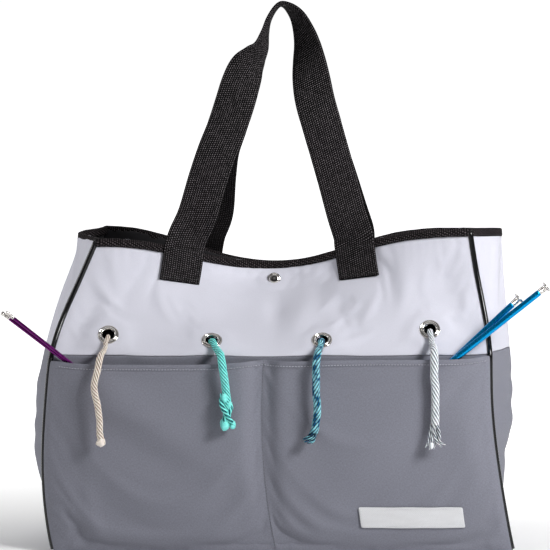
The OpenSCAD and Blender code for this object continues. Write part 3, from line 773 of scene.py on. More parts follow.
# ---- yarn tails --------------------------------------------------------------------------
# Each tail's middle line, in millimetres from its grommet's centre.
ROUTES = {
    "cream": [
        (1, 10, -11), (0, 6, -8), (0, 2, -5), (0, -2, -2.5), (0, -4, -1), (0, -6, -1.5), (-1, -8, -4),
        (-2, -10, -7), (-2, -13, -10), (-3, -18, -13), (-4, -24, -14), (-5, -30, -16), (-6, -34, -19),
        (-7, -37, -25), (-8, -38, -31), (-10, -38, -38), (-11, -38, -45), (-10, -38, -53), (-8, -38, -61),
        (-7, -38, -69), (-6, -38, -77), (-6, -38, -86), (-5, -38, -95)],
    "turquoise": [
        (-1, 7, -12), (0, 4, -8), (0, 1, -5), (0, -2, -2), (0, -4, 0), (1, -6, 0), (2, -9, -1),
        (3, -11, -3), (4, -14, -5), (6, -19, -7), (7, -25, -8), (9, -31, -10), (10, -36, -15),
        (11, -38, -20), (12, -38, -27), (13, -38, -34), (14, -38, -42), (15, -38, -50), (16, -38, -58),
        (15, -38, -66), (14, -38, -73)],
    "teal": [
        (1, 7, -12), (0, 4, -8), (0, 1, -5), (0, -2, -2), (0, -4, 0), (-1, -6, 0), (-1, -9, -1),
        (-1, -11, -3), (-2, -14, -5), (-3, -19, -7), (-4, -25, -8), (-4, -31, -8), (-5, -35, -12),
        (-6, -38, -19), (-6, -38, -28), (-6, -38, -37), (-6, -38, -46), (-5, -38, -55), (-5, -38, -64),
        (-6, -38, -72), (-7, -38, -79), (-9, -38, -86)],
    "grey": [
        (0, 10, -11), (0, 6, -8), (0, 2, -5), (0, -2, -2.5), (0, -4, -1), (0, -6, -1.5), (0, -8, -4),
        (1, -10, -7), (1, -13, -10), (1, -18, -13), (2, -24, -14), (2, -30, -16), (2, -35, -19),
        (2, -38, -25), (2, -39, -32), (2, -39, -41), (3, -39, -50), (3, -39, -60), (3, -39, -70),
        (3, -39, -80), (3, -39, -89), (3, -39, -97)],
}
# Outside radius, share of it at the hole, strands, millimetres a turn (negative turns the other way)
# and how much of the end is loose, in millimetres.
ROPES = {
    "cream": (3.2, 0.64, 6, -23, 0),
    "turquoise": (3.8, 0.80, 8, -31, 0),
    "teal": (3.7, 0.78, 7, 34, 4),
    "grey": (3.9, 0.70, 7, -34, 12),
}
THIN_POINTS = 7
FULL_POINT = 13
# The loose locks at the end, as points from the end of the middle line, in millimetres.
LOCKS = {
    "teal": [
        [(-1.5, 0.5, 5), (-2.5, 0.5, 1.5), (-5.5, 0, -1.2), (-9.4, -0.5, -2.8)],
        [(0.5, -1.0, 5), (-0.8, -1.5, 0.5), (-4.0, -2.0, -3.0), (-8.0, -2.0, -5.0)],
        [(2.0, 0.5, 5), (1.6, -0.5, -0.5), (-1.2, -1.0, -4.2), (-5.2, -1.5, -6.4)],
        [(0.5, 1.5, 5), (1.2, 0.5, -1.5), (0.4, 0, -4.5), (-1.6, -0.5, -6.6)],
    ],
    "grey": [
        [(-3.0, 0.5, 13), (-4.6, 0, 4), (-6.4, -0.5, -5), (-9.2, -1.0, -9.4)],
        [(-1.8, -1.0, 13), (-2.6, -1.5, 2), (-4.0, -2.0, -6), (-5.6, -2.0, -11.4)],
        [(0.0, 1.0, 13), (1.6, 0.5, 3), (0.8, -0.5, -5), (-2.0, -1.0, -11.0)],
        [(1.8, -1.0, 13), (3.8, -1.0, 3), (4.4, -1.5, -3.8), (9.6, -1.5, -7.2)],
        [(-0.8, -1.5, 13), (-1.0, -2.5, 3), (2.4, -2.5, -5), (6.0, -2.0, -8.6)],
    ],
}
LOCK_R = 1.5
# Round fused blobs of fibre: centre from the end of the middle line, and radii across and up.
BLOBS = {
    "cream": [((0.2, -0.4, -1.8), 3.9, 4.2), ((-2.0, -1.0, -2.4), 2.4, 2.6), ((2.2, -0.6, -0.8), 2.2, 2.8)],
    "turquoise": [((-0.9, -0.6, -1.2), 4.7, 5.8), ((6.4, -0.2, -1.8), 3.1, 3.9),
                  ((-1.2, -0.8, 23.5), 3.9, 4.9), ((3.6, -1.2, 16.0), 2.9, 4.8)],
    "grey": [((-3.4, -1.5, -7.6), 2.3, 3.2)],
}
# Small ropes that cross over the end of the big one, as points from the end of the middle line.
CROSSINGS = {
    "turquoise": [
        [(-3.0, -0.5, 27), (-4.2, -1.6, 20), (-2.0, -3.6, 13), (1.6, -4.0, 7), (5.0, -2.6, 1.5),
         (6.8, -1.0, -2.5)],
        [(4.0, -1.0, 19), (4.6, -2.4, 14), (2.4, -3.0, 9), (-0.4, -3.0, 4.5), (-1.8, -2.4, 0)],
    ],
}
CROSSING_R = 2.3


def strand_radius(rope_r, count, turn):
    """Radius of the strands that just overlap when count of them wind round inside rope_r."""
    r = rope_r / 3
    for _ in range(8):
        middle = rope_r - r
        lean = math.atan(2 * math.pi * middle / abs(turn))
        r = 1.05 * middle * math.sin(math.pi / count) * math.cos(lean)
    return r


def strand_paths(path, count, turn, radii):
    """Middle lines of strands that wind round the path, and the way back to it at each point."""
    side = unit(np.cross(path[1] - path[0], [0.1, 0.2, 0.97]))
    strands = [([], []) for _ in range(count)]
    travelled = 0.0
    for i, p in enumerate(path):
        along = unit(path[min(i + 1, len(path) - 1)] - path[max(i - 1, 0)])
        side = unit(side - along * np.dot(side, along))
        other = np.cross(along, side)
        if i:
            travelled += dist(p, path[i - 1])
        for k in range(count):
            t = 2 * math.pi * (travelled / turn + k / count)
            way = math.cos(t) * side + math.sin(t) * other
            strands[k][0].append(p + radii[i] * way)
            strands[k][1].append(-way)
    return strands


def fuzz(build, path, radii, count, rng):
    """Short fine fibres that stand off the yarn."""
    for _ in range(count):
        k = rng.randrange(1, len(path) - 1)
        along = unit(path[k + 1] - path[k - 1])
        way = np.array([rng.gauss(0, 1) for _ in range(3)])
        way = unit(way - along * np.dot(way, along))
        bend = along * rng.uniform(-2.2, 2.2) + np.array([rng.uniform(-0.8, 0.8) for _ in range(3)])
        start = path[k] + way * radii[k] * 0.85
        middle = start + way * 0.5 + bend * 0.4
        tip = start + way * rng.uniform(0.5, 1.3) + bend
        # The fibres' UV is so short round them that they take the yarn's painted shade colour all over.
        build.tube([start, middle, tip], [0.10, 0.09, 0.04], sides=3)


def yarn_piece(build, colour, part, node):
    look = f"yarn_{colour}"
    return placed(build.make(f"tail_{colour}_{part}", look), f"tail_{colour}", look, f"{node}_{colour}")


TAIL_STEP = 0.9


def yarn_tail(i, colour):
    """One tail: strands wound round a core, with its end, its knot and loose fibres."""
    rope_r, squeezed, count, turn, loose = ROPES[colour]
    place = grommet_place(i)
    route = []
    for k, p in enumerate(ROUTES[colour]):
        share = mix(squeezed, 1, ease((k - THIN_POINTS) / (FULL_POINT - THIN_POINTS)))
        route.append(np.append(place + np.array(p, float), share))
    line = even_path(smooth_path(route, 8), TAIL_STEP)
    path = [p[:3] for p in line]
    strand_r = strand_radius(rope_r, count, turn)
    rng = random.Random(17 + i)
    strands = strand_paths(path, count, turn, [(rope_r - strand_r) * p[3] for p in line])
    kept = len(path) - round(loose / TAIL_STEP)
    build = Build()
    for strand, inward in strands:
        phase = 6.3 * rng.random()
        sizes = [strand_r * p[3] * (1 + 0.07 * math.sin(0.55 * k + phase)) for k, p in enumerate(line)]
        build.tube(strand[:kept], sizes[:kept], sides=10, inward=inward[:kept], length=rng.random())
    build.tube(path[:kept], [(rope_r - 1.6 * strand_r) * p[3] for p in line[:kept]], sides=10)
    fuzz(build, path[:kept], [rope_r * p[3] for p in line[:kept]], 260, rng)
    tail = yarn_piece(build, colour, "rope", "yarn")
    end = yarn_end(i, colour, path)
    knot = yarn_knot(i, colour)


def blob(build, centre, across, up, rng):
    """A soft uneven ball of fused fibre."""
    rings = 12
    sides = 20
    phase = [6.3 * rng.random() for _ in range(3)]
    rows = []
    for r in range(rings + 1):
        lat = math.pi * (0.02 + 0.96 * r / rings)
        ring = []
        for s in range(sides):
            t = 2 * math.pi * s / sides
            rough = 1 + 0.06 * math.sin(2 * t + 3 * lat + phase[0])
            rough += 0.04 * math.sin(5 * t - 2 * lat + phase[1])
            rough += 0.03 * math.sin(7 * lat + 3 * t + phase[2])
            flat = across * math.sin(lat)
            way = np.array([flat * math.cos(t), flat * math.sin(t), up * math.cos(lat)])
            ring.append(centre + rough * way)
        rows.append(ring)
    first = len(build.points)
    # Its UV keeps most of the blob on the strands' outward side, so the yarn's painted shade falls on it
    # only in stripes.
    uv = [[(r * 0.0012, 0.0035 + 0.0005 * (s % 6)) for s in range(sides + 1)] for r in range(rings + 1)]
    build.grid(rows, uv, close_columns=True)
    build.close_ends(first, rings + 1, sides, (0.0, 0.005))


def small_rope(build, points, rope_r, turn, rng, tapered):
    """Three plies wound round a short curve, thinner at the end where it is tapered."""
    path = even_path(smooth_path(points, 6), 0.8)
    last = len(path) - 1
    shares = [1 - 0.45 * ease((t / last - 0.6) / 0.4) * tapered for t in range(last + 1)]
    ply_r = strand_radius(rope_r, 3, turn)
    for ply, inward in strand_paths(path, 3, turn, [(rope_r - ply_r) * share for share in shares]):
        build.tube(ply, [ply_r * share for share in shares], sides=8, inward=inward, length=rng.random())
    fuzz(build, path, [rope_r * share for share in shares], 24, rng)


def yarn_end(i, colour, path):
    """The end of the tail: loose locks, small ropes that cross over it, and fused blobs."""
    rng = random.Random(40 + i)
    build = Build()
    end = path[-1]
    turn = ROPES[colour][3] / 2
    for points in LOCKS.get(colour, []):
        small_rope(build, [end + np.array(p, float) for p in points], LOCK_R, turn, rng, 1)
    for points in CROSSINGS.get(colour, []):
        small_rope(build, [end + np.array(p, float) for p in points], CROSSING_R, turn, rng, 0)
    for centre, across, up in BLOBS.get(colour, []):
        blob(build, end + np.array(centre, float), across, up, rng)
    fuzz(build, path[-8:], [ROPES[colour][0]] * 8, 50, rng)
    return yarn_piece(build, colour, "end", "yarn_end")


def yarn_knot(i, colour):
    """The stopper knot behind the wall: a small trefoil pulled tight."""
    centre = grommet_place(i) + np.array(ROUTES[colour][0], float) + np.array([0, 4, -3])
    build = Build()
    size = 1.6
    loop = []
    for k in range(73):
        t = 2 * math.pi * k / 72
        loop.append(centre + size * np.array([math.sin(t) + 1.4 * math.sin(2 * t),
                                              -1.1 * math.sin(3 * t),
                                              math.cos(t) - 1.4 * math.cos(2 * t)]))
    build.tube(loop, 2.3, sides=10)
    build.tube(smooth_path([centre + (0, -4, 3), centre, centre + (1, 4, -2)], 6), 2.4, sides=8)
    return yarn_piece(build, colour, "knot", "stopper")


for index, yarn_name in enumerate(YARNS):
    yarn_tail(index, yarn_name)


# ---- the cloth shell -------------------------------------------------------------------
LOWER_ROWS = 44
UPPER_ROWS = 32
WALL_COLS = 104
GUSSET_COLS = 44
SHELL_VS = steps(0, SEAM_V, LOWER_ROWS) + steps(SEAM_V, 1, UPPER_ROWS)[1:]
SHELL_COLS = ([("wall", FRONT, u) for u in steps(-1, 1, WALL_COLS)[:-1]]
              + [("gusset", RIGHT, w) for w in steps(-1, 1, GUSSET_COLS)[:-1]]
              + [("wall", BACK, u) for u in steps(1, -1, WALL_COLS)[:-1]]
              + [("gusset", LEFT, w) for w in steps(1, -1, GUSSET_COLS)[:-1]])

# Soft folds by face: start, end (across and up, mm), half width and how far out.
WALL_FOLDS = {
    FRONT: [
        ((-128, 276), (-160, 232), 9, -3.4),
        ((-145, 268), (-196, 205), 10, -3.0),
        ((-136, 272), (-178, 220), 7, 2.0),
        ((-6, 240), (-8, 214), 9, -2.6),
        ((46, 270), (66, 200), 15, -2.6),
        ((28, 246), (6, 196), 12, 2.6),
        ((118, 280), (108, 215), 18, 2.2),
        ((152, 290), (160, 235), 14, -2.4),
        ((-70, 262), (-80, 210), 22, 1.6),
    ],
    BACK: [
        ((-60, 262), (-80, 205), 15, -2.6),
        ((20, 256), (40, 200), 13, 2.4),
        ((120, 280), (150, 215), 12, -2.8),
        ((-150, 150), (-40, 60), 22, 3.0),
        ((150, 160), (60, 40), 24, -3.0),
    ],
}
# The same for the gussets; across is front to back.
GUSSET_FOLDS = {
    RIGHT: [
        ((-80, 156), (10, 158), 6, -2.6),
        ((-84, 136), (0, 132), 7, -2.8),
        ((-80, 88), (20, 84), 8, -2.6),
        ((-60, 112), (40, 118), 9, 2.0),
        ((-20, 230), (0, 290), 8, -3.0),
    ],
    LEFT: [
        ((-80, 130), (10, 120), 8, -2.6),
        ((-70, 92), (20, 104), 8, -2.4),
        ((-80, 160), (0, 152), 8, 2.0),
        ((10, 240), (0, 290), 10, -3.0),
    ],
}


def fold_lift(folds, across, up):
    """How far out the folds lift the cloth at a place."""
    total = 0.0
    for (ax, az), (bx, bz), width, lift in folds:
        dx, dz = bx - ax, bz - az
        share = ((across - ax) * dx + (up - az) * dz) / (dx * dx + dz * dz)
        near = min(1, max(0, share))
        away = math.hypot(across - ax - near * dx, up - az - near * dz)
        fade = math.sin(math.pi * (0.12 + 0.76 * near))
        total += lift * fade * math.exp(-(away / width) ** 2)
    return total


FOOT_HOLD_Z = 232


def held(kind, who, a, v, point):
    """How firmly trim or hardware holds the cloth at a place, 0 to 1."""
    is_wall = kind == "wall"
    to_corner = (1 - abs(a)) * (half_w(v) if is_wall else corner_d(v))
    to_base = v * RIM_H
    to_rim = (height(a, who, 1) if is_wall else height(who, a, 1)) - point[2]
    firm = max(ease(1 - to_corner / 14), ease(1 - to_base / 10), ease(1 - to_rim / 18))
    if is_wall and who == FRONT:
        for place in GROMMETS:
            firm = max(firm, ease((24 - dist(point, place)) / 12))
    if is_wall:
        firm = max(firm, ease((20 - dist(point, SNAP_PLACE)) / 10))
        for leg in (FRONT_FEET if who == FRONT else BACK_FEET):
            inside = WEB_W / 2 + 8 - abs(point[0] - leg)
            firm = max(firm, min(ease(inside / 8), ease((point[2] - FOOT_HOLD_Z) / 10)))
    return firm


def shell_points():
    """Rest shape of the shell with its soft folds, and how firmly each point is held."""
    points = np.zeros((len(SHELL_VS), len(SHELL_COLS), 3))
    firm = np.zeros(points.shape[:2])
    for r, v in enumerate(SHELL_VS):
        for c, (kind, who, a) in enumerate(SHELL_COLS):
            if kind == "wall":
                flat = wall_mid(who, a, v)
                out = wall_out(who, min(0.996, max(-0.996, a)), min(0.995, max(0.005, v)))
                lift = fold_lift(WALL_FOLDS[who], flat[0], flat[2])
            else:
                flat = gusset_mid(who, a, v)
                out = np.array([who, 0, 0])
                lift = fold_lift(GUSSET_FOLDS[who], flat[1], flat[2])
            firm[r, c] = held(kind, who, a, v, flat)
            points[r, c] = flat + out * lift * (1 - firm[r, c])
    return points, firm


def cloth_uvs(points):
    """Cloth coordinates in metres: along the column, and round the bag."""
    rise = np.concatenate([np.zeros((1, points.shape[1])),
                           np.cumsum(np.linalg.norm(np.diff(points, axis=0), axis=2), axis=0)]) * MM
    middle = points[LOWER_ROWS // 2]
    round_it = np.concatenate([[0], np.cumsum(np.linalg.norm(
        np.diff(np.concatenate([middle, middle[:1]]), axis=0), axis=1))]) * MM
    return rise, round_it


SETTLE_FRAMES = 22
SETTLE_STRETCH = 0.012


def simulate(obj, firm, cap):
    """Lets the cloth settle between the places that hold it, then caps how far a point moved."""
    before = np.array([v.co for v in obj.data.vertices])
    group = obj.vertex_groups.new(name="held")
    for i, weight in enumerate(firm):
        group.add([i], float(weight), "REPLACE")
    modifier = obj.modifiers.new("settle", "CLOTH")
    settings = modifier.settings
    settings.vertex_group_mass = "held"
    settings.quality = 6
    settings.mass = 0.25
    settings.tension_stiffness = 25
    settings.compression_stiffness = 25
    settings.shear_stiffness = 12
    settings.bending_stiffness = 2.0
    settings.shrink_min = -SETTLE_STRETCH
    settings.air_damping = 2
    modifier.collision_settings.use_collision = False
    modifier.point_cache.frame_start = 1
    modifier.point_cache.frame_end = SETTLE_FRAMES
    scene = bpy.context.scene
    for number in range(1, SETTLE_FRAMES + 1):
        scene.frame_set(number)
    evaluated = obj.evaluated_get(bpy.context.evaluated_depsgraph_get())
    after = np.array([v.co for v in evaluated.data.vertices])
    obj.modifiers.remove(modifier)
    obj.vertex_groups.clear()
    scene.frame_set(1)
    move = after - before
    far = np.linalg.norm(move, axis=1, keepdims=True)
    limit = cap * MM
    move *= limit * np.tanh(far / limit) / np.maximum(far, 1e-9)
    return (before + move) / MM


def settled(points, firm, uv, closed, cap):
    """The grid of points after the cloth simulation; none moves more than cap millimetres."""
    build = Build()
    build.grid(points, uv, close_columns=closed)
    obj = build.make("settling", "dark_fabric")
    result = simulate(obj, np.asarray(firm).reshape(-1), cap)
    bpy.data.objects.remove(obj)
    return result.reshape(np.asarray(points).shape)


def grid_uvs(rise, round_it, rows, cols):
    """UVs for the rows and columns asked for; the round distance may run past the start."""
    total = round_it[-1]
    n = len(round_it) - 1
    return [[(round_it[c % n] + (total if c >= n else 0), rise[r, c % n]) for c in cols] for r in rows]


def normals_of(points):
    """Outward normals of a closed band of points."""
    up = np.gradient(points, axis=0)
    across = (np.roll(points, -1, axis=1) - np.roll(points, 1, axis=1)) / 2
    out = np.cross(across, up)
    return out / np.maximum(np.linalg.norm(out, axis=2, keepdims=True), 1e-9)


shell, shell_firm = shell_points()
shell_rise, shell_round = cloth_uvs(shell)
all_rows = range(len(SHELL_VS))
all_cols = range(len(SHELL_COLS) + 1)
shell_uv = grid_uvs(shell_rise, shell_round, all_rows, all_cols)
shell = settled(shell, shell_firm, shell_uv, True, 3.5)
shell_out = normals_of(shell)
COLS = len(SHELL_COLS)
TOP_ROW = len(SHELL_VS) - 1
SPANS = {
    "front": range(0, WALL_COLS + 1),
    "right": range(WALL_COLS, WALL_COLS + GUSSET_COLS + 1),
    "back": range(WALL_COLS + GUSSET_COLS, 2 * WALL_COLS + GUSSET_COLS + 1),
    "left": range(2 * WALL_COLS + GUSSET_COLS, COLS + 1),
}


def near_grommet(point, radius):
    return any(dist(point, place) < radius for place in GROMMETS)


def shell_panel(name, span, rows, look, node, out=0.0, thickness=CLOTH, holes=False):
    """One sewn panel: part of the shell, given its thickness."""
    build = Build()
    cols = SPANS[span]
    rows = list(rows)
    points = [[shell[r, c % COLS] + shell_out[r, c % COLS] * out for c in cols] for r in rows]
    build.grid(points, grid_uvs(shell_rise, shell_round, rows, cols))
    if holes:
        kept = [k for k, face in enumerate(build.faces)
                if not near_grommet(sum(np.array(build.points[i]) for i in face) / 4, GROMMET_HOLE_R + 0.9)]
        build.faces = [build.faces[k] for k in kept]
        build.uvs = [build.uvs[k] for k in kept]
    obj = sewn(build, name, look, thickness, node)


BELOW = range(0, LOWER_ROWS + 1)
ABOVE = range(LOWER_ROWS, TOP_ROW + 1)
for wall_name, span in (("front_panel", "front"), ("back_panel", "back"),
                        ("left_gusset", "left"), ("right_gusset", "right")):
    shell_panel(f"shell_{wall_name}_lower", span, BELOW, "dark_fabric", f"{wall_name}_lower")
    shell_panel(f"shell_{wall_name}_upper", span, ABOVE, "pale_fabric", f"{wall_name}_upper",
                holes=span == "front")
for span in SPANS:
    shell_panel(f"shell_lining_{span}", span, range(1, TOP_ROW), "lining_fabric", f"lining_{span}",
                out=-LINING_OFF, thickness=0.8, holes=span == "front")


# ---- pocket ---------------------------------------------------------------------------------
POCKET_ROWS = 48
POCKET_FOLDS = [
    ((-196, 178), (-70, 78), 20, 4.6),
    ((-150, 118), (-20, 30), 20, -3.4),
    ((150, 172), (46, 62), 22, 3.8),
    ((-30, 150), (-60, 90), 26, 1.8),
    ((60, 170), (20, 110), 20, -2.2),
    ((182, 172), (152, 148), 5, -2.6),
    ((170, 130), (186, 60), 16, 2.4),
    ((-200, 46), (-186, 14), 7, -2.8),
    ((-186, 60), (-172, 12), 7, 2.2),
    ((90, 60), (40, 12), 12, -2.2),
    ((-180, 10), (180, 12), 8, -1.4),
    ((-206, 120), (-190, 70), 8, -2.0),
]
pocket_us = (steps(-1, -0.9, 8) + steps(-0.9, -0.16, 48)[1:] + steps(-0.16, 0.10, 30)[1:]
             + steps(0.10, 0.9, 52)[1:] + steps(0.9, 1, 8)[1:])
pocket_shares = steps(0.0, 1.0, POCKET_ROWS)


def pocket_points():
    points = np.zeros((len(pocket_shares), len(pocket_us), 3))
    firm = np.zeros(points.shape[:2])
    for r, share in enumerate(pocket_shares):
        for c, u in enumerate(pocket_us):
            v = share * hem_v(u)
            p = pocket(u, v, CLOTH / 2)
            from_divider = abs(u * half_w(v) - DIVIDER_X)
            hold = max(ease(1 - (1 - abs(u)) * half_w(v) / 12), ease(1 - v * RIM_H / 8),
                       ease(1 - from_divider / 7))
            lift = fold_lift(POCKET_FOLDS, p[0], p[2])
            firm[r, c] = hold
            points[r, c] = p - np.array([0, lift * (1 - hold), 0])
    return points, firm


pocket_shape, pocket_firm = pocket_points()
pocket_rise, _ = cloth_uvs(pocket_shape)
pocket_uv = [[(u * 0.21 + 0.3, pocket_rise[r, c]) for c, u in enumerate(pocket_us)]
             for r in range(len(pocket_shares))]
pocket_shape = settled(pocket_shape, pocket_firm, pocket_uv, False, 3.0)


def pocket_at(u, z):
    """The point on the settled pocket nearest that place across it and that height."""
    c = int(np.argmin([abs(u - x) for x in pocket_us]))
    r = int(np.argmin(np.abs(pocket_shape[:, c, 2] - z)))
    return pocket_shape[r, c]


HEM_H = 9.0
HEM_T = 0.5
HEM_STITCH_DROP = 4.5


def front_pocket():
    """The pocket's cloth, its hem, and the stitches of the hem and of the line that divides it."""
    build = Build()
    build.grid(pocket_shape, pocket_uv)
    obj = sewn(build, "pocket_cloth", "dark_fabric", CLOTH, "front_pocket")
    # The hem: a second turn of cloth over the mouth, proud of the pocket.
    hem_rows = [r for r, share in enumerate(pocket_shares) if (1 - share) * SEAM_H < HEM_H]
    cols = range(1, len(pocket_us) - 1)
    build = Build()
    build.grid([[pocket_shape[r, c] + (0, -HEM_T, 0.3) for c in cols] for r in hem_rows],
               [[pocket_uv[r][c] for c in cols] for r in hem_rows])
    hem = sewn(build, "pocket_hem", "dark_fabric", HEM_T)
    out = [np.array([0, -1.0, 0])] * len(pocket_us)
    row = [pocket_shape[-1, c] + (0, -HEM_T - 0.6, -HEM_STITCH_DROP) for c in cols]
    stitch_row("pocket_hem_stitch", row, out, "thread_light")
    divider = int(np.argmin([abs(u * half_w(0.3) - DIVIDER_X) for u in pocket_us]))
    line = [pocket_shape[r, divider] + (0, -0.75, 0) for r in range(len(pocket_shares))]
    stitch_row("pocket_divider_stitch", line, out, "thread_dark")


front_pocket()


# ---- base --------------------------------------------------------------------------------------
def base_point(a, b, z, inset):
    side = BASE_W / 2 + swell(RIGHT, 0) * cos90(b) ** 2 - inset
    return np.array([a * side, b * (BASE_D / 2 - inset), z])


def base_sheet(name, z, inset, thickness, look, node):
    build = Build()
    rows = [[base_point(a, b, z, inset) for a in steps(-1, 1, 60)] for b in steps(-1, 1, 26)]
    uv = [[(p[0] * MM, p[1] * MM) for p in row] for row in rows]
    build.grid(rows, uv)
    obj = build.make(name, look)
    thick(obj, thickness)
    return placed(obj, "bag", look, node)


base_sheet("base_cloth", 0.85, 0.2, 1.6, "dark_fabric", "base_panel")
base_sheet("base_lining", 4.7, 5, 0.8, "lining_fabric", "lining_base")
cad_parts["base_board"].data.materials.clear()
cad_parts["base_board"].data.materials.append(LOOKS["board"])


# ---- piping and binding ------------------------------------------------------------------------
def piping(side, face, node):
    """A covered cord sewn into the corner seam."""
    path = [wall_mid(face, side, v) for v in steps(0.008, 0.992, 70)]
    build = Build()
    build.tube(path, PIPING_DIA / 2, sides=18)
    placed(build.make(f"trim_{node}", "piping"), "bag", "piping", node)


for side, side_name in ((LEFT, "left"), (RIGHT, "right")):
    for face, face_name in ((FRONT, "front"), (BACK, "back")):
        piping(side, face, f"piping_{face_name}_{side_name}")


def rim_line():
    """Points round the rim, with the way up at each."""
    line = []
    for surface, who, end, count in ((wall_mid, FRONT, 0.995, 92), (gusset_mid, RIGHT, 0.95, 30),
                                     (wall_mid, BACK, -0.995, 92), (gusset_mid, LEFT, -0.95, 30)):
        for a in steps(-end, end, count):
            _, up = slopes(surface, who, a, 0.97)
            if surface is gusset_mid:
                up = np.array([0, 0, 1.0])
            line.append((surface(who, a, 1.0), up))
    return line


def rim_binding():
    """Tape folded over the rim, a little uneven, and its row of stitches."""
    line = rim_line()
    n = len(line)
    half = BINDING_T / 2
    profile = [(half, -BINDING_H), (half + 0.25, -BINDING_H * 0.7), (half + 0.1, -BINDING_H * 0.35),
               (half, -1.4), (half * 0.72, -0.45), (0.0, 0.0), (-half * 0.72, -0.45), (-half, -1.4),
               (-half - 0.1, -BINDING_H * 0.35), (-half - 0.25, -BINDING_H * 0.7), (-half, -BINDING_H)]
    rows = []
    uv_rows = []
    travelled = 0.0
    outs = []
    for k in range(n):
        point, up = line[k]
        along = unit(line[(k + 1) % n][0] - line[k - 1][0])
        up = unit(up - along * np.dot(up, along))
        out = unit(np.cross(along, up))
        if k:
            travelled += dist(point, line[k - 1][0]) * MM
        ripple = 0.35 * math.sin(travelled * 160) + 0.2 * math.sin(travelled * 410)
        rows.append([point + out * (o + ripple * 0.4) + up * (h + ripple * 0.3) for o, h in profile])
        uv_rows.append([(travelled, j * 0.002) for j in range(len(profile) + 1)])
        outs.append((point - up * (BINDING_H - 1.7) + out * (half + 0.2), out))
    rows.append(rows[0])
    uv_rows.append([(travelled + 0.003, j * 0.002) for j in range(len(profile) + 1)])
    build = Build()
    build.grid(rows, uv_rows, close_columns=True)
    obj = welded(build.make("rim_tape", "binding_tape"))
    placed(obj, "bag", "binding_tape", "rim_binding")
    stitch_row("rim_tape_stitch", [p for p, _ in outs], [o for _, o in outs], "thread_black", pitch=3.0)


rim_binding()


# ---- hardware ------------------------------------------------------------------------------------
def grommets():
    """A rolled ring with a raised bead outside it, and a washer behind the wall."""
    build = Build()
    inside = Build()
    off = CLOTH / 2 + 0.1
    hole = GROMMET_HOLE_R
    roll = 1.35
    bead = (GROMMET_R - hole - 2 * roll) / 2
    back = -3.6
    profile = [(hole, back), (hole, off - 0.3)]
    profile += arc((hole + roll, off + 0.15), (roll, 1.5), math.pi, 0, 12)
    profile += arc((GROMMET_R - bead, off + 0.15), (bead, 0.75), math.pi, 0, 8)
    profile += [(GROMMET_R, off - 0.15), (hole + 0.6, off - 0.15), (hole + 0.6, back), (hole, back)]
    washer = [(hole + 0.7, -2.6), (GROMMET_R - 0.6, -2.6), (GROMMET_R - 0.6, -2.9), (GROMMET_R - 1.2, -3.5),
              (hole + 0.7, back), (hole + 0.7, -2.6)]
    for i in range(4):
        build.lathe(profile, grommet_place(i), grommet_dir(i), 56)
        inside.lathe(washer, grommet_place(i), grommet_dir(i), 56)
    placed(welded(build.make("grommet_rings", "nickel")), "bag", "nickel", "grommets")
    placed(welded(inside.make("grommet_backs", "nickel")), "bag", "nickel", "grommet_washers")


grommets()


def snap():
    """The centre snap: a domed cap outside each wall, and a socket and a stud that meet between them."""
    half = SNAP_HALF
    dome = [(0.0, -2.2), (1.9, -2.2), (1.9, 0.7), (5.9, 0.7), (6.3, 0.95), (6.2, 1.3), (5.3, 1.45),
            (4.9, 1.7)]
    dome += arc((0, 1.7), (4.9, 1.55), 0, math.pi / 2, 7)[1:]
    cap = [(r, half + h) for r, h in dome]
    socket = [(2.6, 0.2), (3.2, 0.05), (5.2, 0.1), (5.6, 0.5), (5.6, half - 3.0), (5.2, half - 2.7),
              (0.0, half - 2.7), (0.0, half - 3.3), (2.6, half - 3.3), (2.6, 0.2)]
    stud = [(0.0, -half + 2.7), (5.2, -half + 2.7), (5.6, -half + 3.1), (5.6, -0.6), (5.2, -0.25),
            (2.9, -0.2), (2.35, 0.1), (2.45, 0.6), (2.1, 1.0), (0.0, 1.05)]
    for name, node, profile, way in (("snap_dome", "snap_cap", cap, 1),
                                     ("snap_dome_back", "snap_back_cap", cap, -1),
                                     ("snap_socket_ring", "snap_socket", socket, 1),
                                     ("snap_stud_post", "snap_stud", stud, 1)):
        turned(name, "nickel", "bag", node, profile, SNAP_PLACE, SNAP_DIR * way)


snap()


# ---- handles ---------------------------------------------------------------------------------------
HINGE_Z = 293
LEG_LEFT_Y = 39
LEG_RIGHT_Y = 27
TOP_Y = 21
HANDLE_MID_X = -2
FOOT_LEN = 34
FOOT_LEAN = 4
FOOT_OFF = BINDING_T / 2 + 0.4 + WEB_T / 2
FOOT_FADE = 42
# Middle of the webbing from the rim to the top, as shares: across, up, twist in degrees.
LEFT_ROUTE = [
    (0, 0, 0), (0.10, 0.09, 0), (0.21, 0.24, 0), (0.31, 0.36, 0), (0.41, 0.46, 0), (0.50, 0.57, 4),
    (0.56, 0.65, 14), (0.625, 0.72, 30), (0.71, 0.77, 52), (0.78, 0.81, 68), (0.82, 0.87, 80),
    (0.86, 0.93, 86), (0.93, 0.98, 89)]
RIGHT_ROUTE = [
    (0, 0, 0), (0.10, 0.10, 0), (0.22, 0.24, 0), (0.34, 0.37, 0), (0.44, 0.48, 0), (0.53, 0.58, 6),
    (0.58, 0.67, 20), (0.61, 0.75, 36), (0.64, 0.82, 50), (0.69, 0.88, 60), (0.77, 0.94, 70),
    (0.88, 0.98, 80)]


def leg_points(route, end, leg_y, face):
    points = []
    for across, up, twist in route:
        x = mix(FRONT_LEGS[end], HANDLE_MID_X, across)
        if face == BACK:
            x += (BACK_LEGS[end] - FRONT_LEGS[end]) * (1 - ease(up / 0.45))
        y = face * mix(leg_y, TOP_Y, ease(2 * up))
        points.append((x, y, mix(HINGE_Z + 2.2, HANDLE_TOP, up), twist))
    return points


